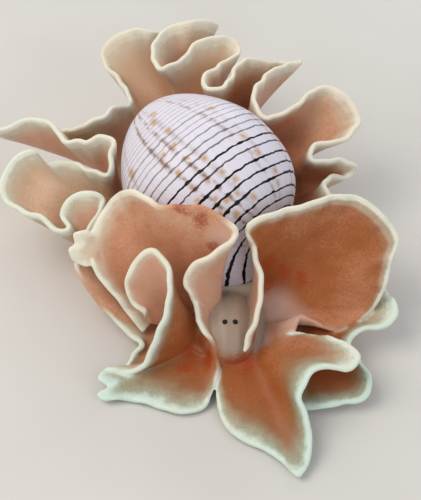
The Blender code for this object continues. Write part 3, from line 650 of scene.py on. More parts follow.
@dataclass(frozen=True)
class PaleFloor:
    """Matt painted board of the studio: a plain pale ground with a breath of unevenness."""

    light: str = "D8D5D0"
    dark: str = "CFCBC5"
    cloud_mm: float = 60.0

    def material(self) -> bpy.types.Material:
        """Builds the floor's material.

        Returns:
            The material.
        """
        paint = Paint("board_painted_matt")
        noise = {"Scale": per_metre(self.cloud_mm), "Detail": 3.0}
        tone = paint.add("TexNoise", noise | {"Vector": paint.known["place"]})
        colour = paint.add("ValToRGB", (tone,), ramp=((0.3, self.light), (0.7, self.dark)))
        return paint.done({"Base Color": colour, "Roughness": 0.8})


def smooth_line(points: np.ndarray, steps: int) -> np.ndarray:
    """Points of smooth curves through the given ones, along the first axis.

    Args:
        points: Points to pass through, one row for each.
        steps: Steps to a stretch.

    Returns:
        The finer points.
    """
    first = points[:1] * 2 - points[1:2]
    last = points[-1:] * 2 - points[-2:-1]
    padded = np.concatenate([first, points, last])
    a, b, c, d = padded[:-3], padded[1:-2], padded[2:-1], padded[3:]
    t = (np.arange(steps) / steps).reshape((steps,) + (1,) * points.ndim)
    curve = (a * 2 - b * 5 + c * 4 - d) * t + (b * 3 - c * 3 + d - a) * t * t
    line = b + ((c - a) + curve) * (t / 2)
    line = np.moveaxis(line, 0, 1).reshape((-1,) + points.shape[1:])
    return np.concatenate([line, points[-1:]])


def smooth_rows(grid: np.ndarray, steps: int) -> np.ndarray:
    """The same along the second axis, from root to margin."""
    return smooth_line(grid.swapaxes(0, 1), steps).swapaxes(0, 1)


def relaxed(grid: np.ndarray, passes: int) -> np.ndarray:
    """The grid with its inner points drawn towards the mean of their neighbours.

    Args:
        grid: Columns by rows of points.
        passes: How often.

    Returns:
        The evened grid.
    """
    grid = grid.copy()
    for _ in range(passes):
        around = grid[:-2, 1:-1] + grid[2:, 1:-1] + grid[1:-1, :-2] + grid[1:-1, 2:]
        grid[1:-1, 1:-1] = (grid[1:-1, 1:-1] * 2 + around) / 6
    return grid


def eased(values: np.ndarray, reach: int) -> np.ndarray:
    """Each value averaged with its neighbours up to this many places away."""
    wide = np.concatenate([values[:1].repeat(reach, 0), values, values[-1:].repeat(reach, 0)])
    return np.mean([wide[k : k + len(values)] for k in range(2 * reach + 1)], axis=0)


def unit(vectors: np.ndarray) -> np.ndarray:
    """The same directions, each of length 1."""
    return vectors / np.maximum(np.linalg.norm(vectors, axis=-1, keepdims=True), 1e-9)


def smoothstep(values: np.ndarray, low: float, high: float) -> np.ndarray:
    """0 below the low value, 1 above the high one and smooth between them."""
    t = np.clip((values - low) / (high - low), 0.0, 1.0)
    return t * t * (3 - 2 * t)


def turned(
    x: np.ndarray, y: np.ndarray, degrees: float, centre: tuple[float, float] = (0.0, 0.0)
) -> tuple[np.ndarray, np.ndarray]:
    """Places on a level plane, turned about Z.

    Args:
        x: Steps along X.
        y: Steps along Y.
        degrees: The turn.
        centre: The middle, to which the turned steps are added.

    Returns:
        The places along X and Y.
    """
    turn = math.radians(degrees)
    across = centre[0] + x * math.cos(turn) - y * math.sin(turn)
    along = centre[1] + x * math.sin(turn) + y * math.cos(turn)
    return across, along


def grid_faces(columns: int, rows: int, closed: bool = False) -> np.ndarray:
    """Quads between neighbours in a grid of points.

    Args:
        columns: Points along the first axis.
        rows: Points along the second axis.
        closed: Whether the last column joins the first.

    Returns:
        One row of four point numbers for each quad.
    """
    index = np.arange(columns * rows).reshape(columns, rows)
    if closed:
        index = np.vstack([index, index[:1]])
    corners = [index[:-1, :-1], index[1:, :-1], index[1:, 1:], index[:-1, 1:]]
    return np.stack(corners, axis=-1).reshape(-1, 4)


def placed(name: str, data: bpy.types.ID) -> bpy.types.Object:
    """Puts a mesh, lamp or lens in the scene.

    Args:
        name: The object's name.
        data: The mesh, lamp or lens.

    Returns:
        The object.
    """
    made = bpy.data.objects.new(name, data)
    bpy.context.scene.collection.objects.link(made)
    return made


def tell(mesh: bpy.types.Mesh, name: str, values: np.ndarray) -> None:
    """Writes one value for each point of a mesh, as a named attribute."""
    layer = mesh.attributes.new(name, "FLOAT", "POINT")
    layer.data.foreach_set("value", values)


def new_object(name: str, points: np.ndarray, faces: list) -> bpy.types.Object:
    """Makes a mesh object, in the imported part's metres.

    Args:
        name: The object's name.
        points: Its points, in millimetres.
        faces: Its faces, as lists of point numbers.

    Returns:
        The object.
    """
    mesh = bpy.data.meshes.new(name)
    mesh.from_pydata(to_frame(points).tolist(), [], faces)
    mesh.update()
    return placed(name, mesh)


@dataclass
class Form:
    """A closed form of flesh before the forms are fused: its mesh and what its points know."""

    points: np.ndarray
    faces: list
    samples: np.ndarray
    traits: dict[Trait, np.ndarray]
    facing: np.ndarray | None = None  # which way the inner face looks at each sample


@dataclass(frozen=True)
class Sole:
    """Flat oval sole of the foot, with a rounded upper edge."""

    centre: tuple[float, float] = (-1.0, 5.0)
    half_width: float = 16.0
    half_length: float = 33.0
    height: float = 4.4
    rounding: float = 1.4
    turn: float = 8.0
    segments: int = 160

    def outline(self, degrees: np.ndarray, offset: float = 0.0) -> np.ndarray:
        """Points of the oval outline, moved outwards by the offset.

        Args:
            degrees: Angles about the middle.
            offset: How far outside the outline.

        Returns:
            The points, at z = 0.
        """
        angle = np.radians(np.asarray(degrees, float))
        x = (self.half_width + offset) * np.cos(angle)
        y = (self.half_length + offset) * np.sin(angle)
        across, along = turned(x, y, self.turn, self.centre)
        return np.stack([across, along, np.zeros_like(across)], axis=-1)

    def form(self) -> Form:
        """Builds the sole's closed form.

        Returns:
            The form.
        """
        angles = np.arange(self.segments) * 360 / self.segments
        low, round_off = self.height - self.rounding, self.rounding
        profile = [
            (0.0, 0.0),
            (0.0, low),
            (-round_off * 0.3, low + round_off * 0.7),
            (-round_off, self.height),
        ]
        rings = [self.outline(angles, out) + (0.0, 0.0, z) for out, z in profile]
        return closed_rings(rings, Trait.INNER)


@dataclass(frozen=True)
class Oval:
    """An oval body part with three radii, turned about Z."""

    centre: Place
    radii: Place
    turn: float = 0.0
    known: Trait = Trait.INNER
    rings: int = 48
    segments: int = 96

    def form(self) -> Form:
        """Builds the oval's closed form.

        Returns:
            The form.
        """
        around = np.radians(np.arange(self.segments) * 360 / self.segments)
        rings = []
        for tilt in np.linspace(0.02, math.pi - 0.02, self.rings):
            x = self.radii[0] * math.sin(tilt) * np.cos(around)
            y = self.radii[1] * math.sin(tilt) * np.sin(around)
            z = np.full_like(x, self.radii[2] * math.cos(tilt))
            rings.append(np.stack([*turned(x, y, self.turn), z], axis=-1) + self.centre)
        return closed_rings(rings, self.known)


def closed_rings(rings: list[np.ndarray], known: Trait) -> Form:
    """Joins rings of points to a closed form.

    Args:
        rings: Rings of as many points each.
        known: The one trait that is full on this form.

    Returns:
        The form.
    """
    count = len(rings[0])
    grid = np.stack(rings, axis=1)
    points = grid.reshape(-1, 3)
    rows = len(rings)
    faces = grid_faces(count, rows, closed=True).tolist()
    faces.append([k * rows for k in range(count)])
    faces.append([k * rows + rows - 1 for k in range(count)])
    traits = {each: np.zeros(len(points)) for each in Trait}
    traits[known] += 1.0
    traits[Trait.RED] += BODY_RED
    traits[Trait.RIM] += BODY_EDGE
    traits[Trait.EDGE] += BODY_EDGE
    return Form(points, faces, points, traits)


HEAD = Oval((3.8, -19.5, 3.4), (7.0, 9.4, 6.9), known=Trait.HEAD)
MANTLE = Oval((4.6, -12.4, 8.3), (7.0, 3.0, 2.0), known=Trait.MANTLE)
TRUNK = Oval((0.0, 7.0, 5.0), (13.0, 22.0, 12.0), turn=8.0)
SOLE = Sole()


@dataclass
class FleshSheet:
    """A lobe or the foot margin: a thin sheet of flesh with a rounded, finely ruffled edge."""

    ribs: np.ndarray
    face: int  # side of the grid that is the upper, inner face
    border: tuple[float, ...]  # width of the pale border at each rib, in millimetres
    mint: tuple[float, ...]
    red: tuple[float, ...]
    seed: int
    ends: tuple[bool, bool] = (True, True)  # whether the first and last ribs have a border
    relax_passes: int = 12
    column_steps: int = 5
    row_steps: int = 6
    root_half: float = 0.9
    middle_half: float = 0.6
    edge_half: float = 0.55
    root_share: float = 0.18  # part of the height over which the root thins
    bead_mm: float = 1.2
    ruffle_mm: float = 0.22
    ruffle_start: float = 0.7
    ruffle_lengths: tuple[float, ...] = (4.9, 7.7, 12.5)
    ruffle_drift: float = 1.3  # how far the waves drift out of step, in radians
    drift_length: float = 2.7
    # Widths in millimetres up to which the edge is bare and from which its border is full
    bare_border: float = 0.3
    full_border: float = 1.3
    end_rise: float = 6.0
    cap_angles: tuple[float, ...] = (25.0, 50.0, 70.0, 86.0)
    grid: np.ndarray = field(init=False)
    normals: np.ndarray = field(init=False)
    rim_distance: np.ndarray = field(init=False)

    def __post_init__(self) -> None:
        """Lays the fine grid through the ribs and ruffles its edge."""
        coarse = relaxed(smooth_line(smooth_rows(self.ribs, 2), 2), self.relax_passes)
        self.grid = smooth_rows(smooth_line(coarse, self.column_steps), self.row_steps)
        self.normals = self._square()
        self.grid = self.grid + self._ruffles()
        self.normals = self._square()
        self.rim_distance = self._distance()

    def _square(self) -> np.ndarray:
        """Directions square to the grid.

        Returns:
            A direction of length 1 for each point.
        """
        across = np.gradient(self.grid, axis=0)
        along = np.gradient(self.grid, axis=1)
        return unit(np.cross(across, along))

    def _height(self) -> np.ndarray:
        """0 at each root and 1 at the edge, for the rows of the grid."""
        return np.linspace(0.0, 1.0, self.grid.shape[1])

    def _per_column(self, values: tuple[float, ...]) -> np.ndarray:
        """Values given for each rib, spread smoothly over the grid's columns.

        Args:
            values: One value for each rib.

        Returns:
            One value for each column.
        """
        places = np.linspace(0, len(values) - 1, len(self.grid))
        spread = np.interp(places, np.arange(len(values)), values)
        return eased(eased(spread, self.column_steps), self.column_steps)

    def _ruffles(self) -> np.ndarray:
        """Small waves that grow towards the edge, as steps for the grid's points.

        Returns:
            A step in millimetres for each point.
        """
        draw = np.random.default_rng(self.seed)
        edge = self.grid[:, -1]
        steps = np.linalg.norm(np.diff(edge, axis=0), axis=1)
        run = np.concatenate([[0.0], np.cumsum(steps)])
        wave = np.zeros(len(run))
        for length in self.ruffle_lengths:
            slow = run / (length * self.drift_length)
            bend = np.sin(slow + draw.uniform(0, ROUND)) * self.ruffle_drift
            wave += np.sin(run * 2 * math.pi / length + bend + draw.uniform(0, ROUND))
        wave *= self.ruffle_mm / len(self.ruffle_lengths) ** 0.5
        share = smoothstep(self._height(), self.ruffle_start, 1.0)
        return self.normals * wave[:, None, None] * share[None, :, None]

    def _distance(self) -> np.ndarray:
        """Millimetres along the sheet from each point to its upper edge.

        Returns:
            A distance for each point.
        """
        steps = np.linalg.norm(np.diff(self.grid, axis=1), axis=2)
        run = np.cumsum(steps[:, ::-1], axis=1)[:, ::-1]
        return np.concatenate([run, np.zeros((len(run), 1))], axis=1)

    def _rim_share(self) -> np.ndarray:
        """Distance to the nearest edge over the border's width there, open ends included.

        Returns:
            0 at an edge and 1 where the border ends.
        """
        width = self._per_column(self.border)
        share = self.rim_distance / width[:, None]
        steps = np.linalg.norm(np.diff(self.grid, axis=0), axis=2)
        zero = np.zeros((1, steps.shape[1]))
        from_first = np.concatenate([zero, np.cumsum(steps, axis=0)])
        from_last = np.concatenate([np.cumsum(steps[::-1], axis=0)[::-1], zero])
        inward = (1 - self._height()) * self.end_rise
        for is_open, run, rib in zip(self.ends, (from_first, from_last), (0, -1)):
            if is_open:
                share = np.minimum(share, (run + inward) / width[rib])
        return share

    def _pale(self) -> np.ndarray:
        """How pale the edge is at each column: not at all where it is bare."""
        return smoothstep(self._per_column(self.border), self.bare_border, self.full_border)

    def _half_thickness(self) -> np.ndarray:
        """Half the sheet's thickness at each point: full at the root, with a bead at the edge.

        Returns:
            Half the thickness, in millimetres.
        """
        half = np.full(self.rim_distance.shape, self.middle_half)
        bead = np.exp(-((self.rim_distance / self.bead_mm) ** 2))
        half += (self.edge_half - self.middle_half) * bead
        root = np.exp(-((self._height() / self.root_share) ** 2))
        return half + (self.root_half - self.middle_half) * root

    def form(self) -> Form:
        """Builds the sheet's closed form and what its points on both faces know.

        Returns:
            The form.
        """
        half = self._half_thickness()
        out = unit(self.grid[:, -1] - self.grid[:, -2])
        rows, offsets = [self.grid], [half]
        for angle in np.radians(self.cap_angles):
            reach = half[:, -1:] * math.sin(angle)
            rows.append(self.grid[:, -1:] + out[:, None] * reach[..., None])
            offsets.append(half[:, -1:] * math.cos(angle))
        grid = np.concatenate(rows, axis=1)
        offset = np.concatenate(offsets, axis=1)[..., None]
        caps = len(self.cap_angles)
        normals = np.concatenate([self.normals, self.normals[:, -1:].repeat(caps, 1)], axis=1)
        columns, count = grid.shape[:2]
        sides = [grid + normals * offset, grid - normals * offset]
        points = np.concatenate([side.reshape(-1, 3) for side in sides])
        quads = grid_faces(columns, count)
        border = self._border(columns, count)
        after = np.roll(border, -1)
        shift = columns * count
        wall = np.stack([border, after, after + shift, border + shift], axis=-1)
        faces = np.concatenate([quads, quads + shift, wall]).tolist()
        facing = (eased(self.normals, self.column_steps) * self.face).reshape(-1, 3)
        return Form(points, faces, self.grid.reshape(-1, 3), self._traits(), facing)

    def _border(self, columns: int, rows: int) -> np.ndarray:
        """Numbers of the points round a grid's edge, in order.

        Args:
            columns: Points along the first axis.
            rows: Points along the second axis.

        Returns:
            The point numbers.
        """
        index = np.arange(columns * rows).reshape(columns, rows)
        sides = [index[0, :-1], index[:-1, -1], index[-1, :0:-1], index[:0:-1, 0]]
        return np.concatenate(sides)

    def _traits(self) -> dict[Trait, np.ndarray]:
        """What the points of the middle surface know.

        Returns:
            One value for each point, by trait.
        """
        shape = self.grid.shape[:2]
        known = {
            Trait.RIM: self._rim_share(),
            Trait.EDGE: self.rim_distance,
            Trait.PALE: np.broadcast_to(self._pale()[:, None], shape),
            Trait.DEPTH: np.broadcast_to(self._height(), shape),
            Trait.MINT: np.broadcast_to(self._per_column(self.mint)[:, None], shape),
            Trait.RED: np.broadcast_to(self._per_column(self.red)[:, None], shape),
        }
        traits = {each: np.zeros(shape[0] * shape[1]) for each in Trait}
        for each, values in known.items():
            traits[each] = values.ravel()
        return traits


# Round patches on the skin where a trait is raised: middle and radius in millimetres, and the
# value that the trait has at least there
PATCHES = {
    Trait.BLUSH: (
        (11.2, -14.3, 17.5, 3.6, 1.0), (11.4, -15.5, 11.9, 3.6, 1.0), (14.7, -14.4, 14.6, 3.4, 1.0),
        (18.0, -15.2, 13.1, 2.8, 1.0), (-5.1, -11.7, 29.6, 3.0, 1.0), (-2.0, -13.0, 27.8, 3.0, 1.0),
        (0.2, -14.7, 22.3, 2.4, 1.0), (-4.1, -25.8, 3.4, 3.4, 1.0), (-5.4, -29.0, 3.0, 2.6, 1.0),
        (-1.4, -24.6, 6.4, 2.4, 1.0), (6.8, -28.2, 4.0, 4.0, 1.0), (-0.2, -27.6, 4.6, 3.8, 1.0),
    ),
    Trait.RED: (
        (-2.6, -25.2, 4.0, 6.0, 0.6), (3.6, -28.9, 3.6, 6.0, 0.6), (11.2, -15.0, 14.0, 6.0, 0.72),
    ),
    Trait.INNER: (
        (-2.6, -25.0, 4.2, 4.5, 1.0),
    ),
    Trait.LOBE: (
        (-2.9, -24.6, 4.4, 5.4, 1.0), (0.2, -27.9, 4.4, 4.0, 1.0), (3.6, -28.9, 3.6, 3.8, 1.0),
        (7.2, -28.0, 3.4, 3.8, 1.0),
    ),
    Trait.ROSE: (
        (1.9, -14.8, 24.6, 4.2, 1.0), (12.9, -18.6, 7.5, 6.5, 1.0), (15.7, -21.4, 7.5, 5.6, 1.0),
        (10.4, -21.6, 9.0, 4.0, 1.0), (10.8, -23.2, 5.4, 3.2, 1.0),
    ),
}


@dataclass
class SnailSkin:
    """The snail's whole skin: head, sole, trunk, lobes and foot margin fused to one surface."""

    root_depth: float = 0.86
    margin_root_height: float = 2.2
    margin_root_inset: float = 1.2
    margin_fold_reach: int = 3
    voxel_mm: float = 0.26
    quick_voxel_mm: float = 0.45
    smooth_factor: float = 0.5
    smooth_passes: int = 5
    patch_core: float = 0.2  # part of a patch's radius inside which it is full
    # Agreement between a point's normal and the inner face's direction, on either face
    outer_look: float = -0.35
    inner_look: float = 0.25
    finish: WetSkin = field(default_factory=WetSkin)

    def lobe_ribs(self, ribs: list) -> np.ndarray:
        """Ribs of a head lobe, with each root drawn on to one level inside the head.

        Args:
            ribs: Root, middle and margin points of each rib.

        Returns:
            The ribs as an array.
        """
        made = np.array(ribs, float)
        offset = made[:, 0] - HEAD.centre
        reach = np.linalg.norm(offset / HEAD.radii, axis=1, keepdims=True)
        made[:, 0] = HEAD.centre + offset * (self.root_depth / reach)
        return made

    def margin_ribs(self) -> np.ndarray:
        """Ribs of the foot margin, from the root on the sole to each point of the edge.

        Returns:
            Root, middle and margin points of each rib.
        """
        edges = np.array([point[:3] for *_, length in FOOT_MARGIN for point in length])
        angles = np.array([point[3] for *_, length in FOOT_MARGIN for point in length])
        belly = self._along_margin(0)[:, None]
        roots = SOLE.outline(angles, -self.margin_root_inset) + UP * self.margin_root_height
        outwards = SOLE.outline(angles, 1.0) - SOLE.outline(angles)
        bellies = outwards * belly - UP * belly / 4
        reach = self.margin_fold_reach
        middles = (roots + eased(edges, reach)) / 2 + eased(bellies, reach)
        return np.stack([roots, middles, edges], axis=1)

    def _along_margin(self, place: int) -> np.ndarray:
        """One value of each length of the foot margin, repeated for its points."""
        return np.array([row[place] for row in FOOT_MARGIN for _ in row[-1]], float)

    def sheets(self) -> list[FleshSheet]:
        """The four lobes, the small folds between them and the foot margin.

        Returns:
            The sheets.
        """
        rear_right = FleshSheet(
            self.lobe_ribs(LOBE_REAR_RIGHT),
            face=-1,
            border=(3, 3, 3, 3, 2, 0.2, 0.2, 0.2, 2.6, 5, 4.8, 4.2, 4, 3.5),
            mint=(0.1,) * 8 + (0.15, 0.2, 0.3, 0.3, 0.35, 0.4),
            red=(0.3,) * 14,
            seed=11,
        )
        rear_left = FleshSheet(
            self.lobe_ribs(LOBE_REAR_LEFT),
            face=1,
            border=(1.4,) * 6 + (1.8, 2.2, 2.4, 2.6, 3, 3.2, 3, 1.6, 0.7, 0.3, 0.3, 0.3),
            mint=(0.2,) * 6 + (0.3,) * 3 + (0.4,) * 9,
            red=(0.64,) * 9 + (0.64, 0.62, 0.6, 0.58, 0.56, 0.52, 0.5, 0.45, 0.45),
            seed=12,
            ends=(True, False),
        )
        front_right = FleshSheet(
            self.lobe_ribs(LOBE_FRONT_RIGHT),
            face=1,
            border=(1.6, 1.3, 0.2, 0.2, 2.5, 4, 5.5, 7, 10, 12, 13, 14, 13, 9)
            + (2.6,) * 6
            + (2,) * 5,
            mint=(0.3,) * 4 + (0.6, 0.7, 0.8, 0.9, 1, 1, 1, 1, 1, 1) + (0.6,) * 5 + (0.3,) * 6,
            red=(0.6,) * 4 + (0.64,) * 13 + (0.58, 0.5) + (0.35,) * 6,
            seed=13,
        )
        front_left = FleshSheet(
            self.lobe_ribs(LOBE_FRONT_LEFT),
            face=-1,
            border=(0.3, 0.3, 2.5, 4, 5.5, 6.5, 7.5, 8, 6, 5, 5, 6, 8, 9, 8, 5, 2.6, 1.6),
            mint=(0.7,) * 5 + (1.0,) * 6 + (0.9, 0.8, 0.6, 0.6, 0.6, 0.6, 0.6),
            red=(0.66,) * 10 + (0.6, 0.55, 0.5, 0.5, 0.5, 0.5, 0.55, 0.5),
            seed=14,
            ends=(True, False),
        )
        margin = FleshSheet(
            self.margin_ribs(),
            face=1,
            border=tuple(self._along_margin(1)),
            mint=tuple(self._along_margin(2)),
            red=tuple(self._along_margin(3)),
            seed=15,
            ruffle_mm=0.25,
        )
        return [rear_right, rear_left, front_right, front_left, margin, *self.small_folds()]

    def small_folds(self) -> list[FleshSheet]:
        """The webs between the left lobes and the right ones, and the rear right lobe's ear.

        Returns:
            The sheets.
        """
        # Ribs, side, border, green, red, seed and half thickness at the root of each
        folds = (
            (self.lobe_ribs(LEFT_WEB), 1, 0.3, 0.5, 0.5, 16, 0.9),
            (self.lobe_ribs(RIGHT_WEB), -1, 1.8, 0.2, 0.4, 18, 0.9),
            (np.array(RIGHT_EAR, float), -1, 9.0, 0.25, 0.1, 17, 0.6),
        )
        return [
            FleshSheet(
                ribs,
                side,
                *[(value,) * len(ribs) for value in looks],
                seed,
                ends=(False, False),
                root_half=root,
                ruffle_mm=0.0,
            )
            for ribs, side, *looks, seed, root in folds
        ]

    def build(self) -> bpy.types.Object:
        """Fuses the forms, tells the mesh its traits and dresses it.

        Returns:
            The skin.
        """
        forms = [sheet.form() for sheet in self.sheets()]
        forms += [HEAD.form(), MANTLE.form(), TRUNK.form(), SOLE.form()]
        skin = self._fused(forms)
        self._know(skin, forms)
        skin.data.materials.append(self.finish.material())
        skin.data.shade_smooth()
        return skin

    def _fused(self, forms: list[Form]) -> bpy.types.Object:
        """One closed surface round all the forms.

        Args:
            forms: The closed forms.

        Returns:
            The fused object, flat on the floor.
        """
        faces, start = [], 0
        for form in forms:
            faces += [[start + k for k in face] for face in form.faces]
            start += len(form.points)
        rough = new_object("fused_forms", np.concatenate([form.points for form in forms]), faces)
        voxel = self.voxel_mm
        remesh = rough.modifiers.new("fuse", "REMESH")
        remesh.mode = "VOXEL"
        remesh.voxel_size = voxel * MM
        smooth = rough.modifiers.new("even", "SMOOTH")
        smooth.factor = self.smooth_factor
        smooth.iterations = self.smooth_passes
        bpy.context.view_layer.update()
        graph = bpy.context.evaluated_depsgraph_get()
        mesh = bpy.data.meshes.new_from_object(rough.evaluated_get(graph))
        bpy.data.objects.remove(rough)
        places = vertex_places(mesh)
        places[:, 2] = np.maximum(places[:, 2], 0.0)
        mesh.vertices.foreach_set("co", places.ravel())
        mesh.update()
        mesh.name = "snail_skin"
        return placed("snail_skin", mesh)

    def _know(self, skin: bpy.types.Object, forms: list[Form]) -> None:
        """Writes the traits on the skin, from the nearest point of the forms, and evens them.

        Args:
            skin: The fused skin.
            forms: The forms that it was fused from.
        """
        samples = to_frame(np.concatenate([form.samples for form in forms]))
        tree = KDTree(len(samples))
        for number, place in enumerate(samples.tolist()):
            tree.insert(place, number)
        tree.balance()
        mesh = skin.data
        nearest = np.array([tree.find(vert.co)[1] for vert in mesh.vertices])
        edges = np.empty(len(mesh.edges) * 2, int)
        mesh.edges.foreach_get("vertices", edges)
        edges = edges.reshape(-1, 2)
        places = vertex_places(mesh)
        inner = self._inner(mesh, forms, nearest)
        for each in Trait:
            known = np.concatenate([form.traits[each] for form in forms])[nearest]
            known = inner if each is Trait.INNER else known
            for *middle, radius, strength in PATCHES.get(each, ()):
                away = np.linalg.norm(places - to_frame(middle), axis=1)
                fade = 1 - smoothstep(away / MM / radius, self.patch_core, 1.0)
                known = np.maximum(known, fade * strength)
            sharp = each in (Trait.RIM, Trait.EDGE, Trait.INNER, Trait.BLUSH)
            passes = FEW_PASSES if sharp else MANY_PASSES
            tell(mesh, each.value, evened(known, edges, passes))

    def _inner(
        self, mesh: bpy.types.Mesh, forms: list[Form], nearest: np.ndarray
    ) -> np.ndarray:
        """Whether each point of the skin is on an inner face, from the way that it looks.

        Args:
            mesh: The skin's mesh.
            forms: The forms that it was fused from.
            nearest: The sample nearest to each of its points.

        Returns:
            1 on inner faces, 0 on outer ones and values between along the edges.
        """
        looks = np.empty(len(mesh.vertices) * 3)
        mesh.vertex_normals.foreach_get("vector", looks)
        blank = [np.zeros_like(form.samples) for form in forms]
        facing = [blank[k] if form.facing is None else form.facing for k, form in enumerate(forms)]
        facing = np.concatenate(facing)[nearest]
        agree = (facing * looks.reshape(-1, 3)).sum(axis=1)
        return smoothstep(agree, self.outer_look, self.inner_look)


def vertex_places(mesh: bpy.types.Mesh) -> np.ndarray:
    """A mesh's points, in metres.

    Args:
        mesh: The mesh.

    Returns:
        One row of x, y and z for each point.
    """
    places = np.empty(len(mesh.vertices) * 3)
    mesh.vertices.foreach_get("co", places)
    return places.reshape(-1, 3)


def evened(values: np.ndarray, edges: np.ndarray, passes: int) -> np.ndarray:
    """Values averaged over each point's neighbours.

    Args:
        values: One value for each point.
        edges: Pairs of point numbers.
        passes: How often.

    Returns:
        The evened values.
    """
    count = len(values)
    ends = np.concatenate([edges[:, 0], edges[:, 1]])
    others = np.concatenate([edges[:, 1], edges[:, 0]])
    neighbours = np.maximum(np.bincount(ends, minlength=count), 1)
    for _ in range(passes):
        around = np.bincount(ends, weights=values[others], minlength=count) / neighbours
        values = (values + around * 2) / 3
    return values


# Height along the axis, half width in millimetres and darkness of each spiral line, from the
# spire to the front end, with a blank line past each end
SPIRAL_LINES = (
    (-19.6, 0.0, 0.0), (-18.6, 0.05, 0.2), (-17.7, 0.07, 0.2), (-16.8, 0.07, 0.2),
    (-15.8, 0.08, 0.2), (-14.6, 0.1, 0.22), (-13.4, 0.1, 0.24), (-12.3, 0.12, 0.26),
    (-11.3, 0.12, 0.28), (-10.3, 0.12, 0.3), (-9.3, 0.12, 0.32), (-8.3, 0.12, 0.34),
    (-7.2, 0.1, 0.34), (-5.95, 0.19, 0.55), (-4.4, 0.11, 0.45), (-3.1, 0.12, 0.5),
    (-1.35, 0.16, 0.68), (0.5, 0.15, 0.7), (2.1, 0.15, 0.78), (4.4, 0.2, 1.0),
    (6.2, 0.16, 0.9), (8.75, 0.21, 1.0), (11.0, 0.2, 1.0), (13.0, 0.25, 1.0),
    (15.15, 0.2, 1.0), (16.5, 0.19, 1.0), (17.65, 0.19, 1.0), (18.45, 0.17, 1.0),
    (19.0, 0.1, 0.9), (19.6, 0.0, 0.0),
)


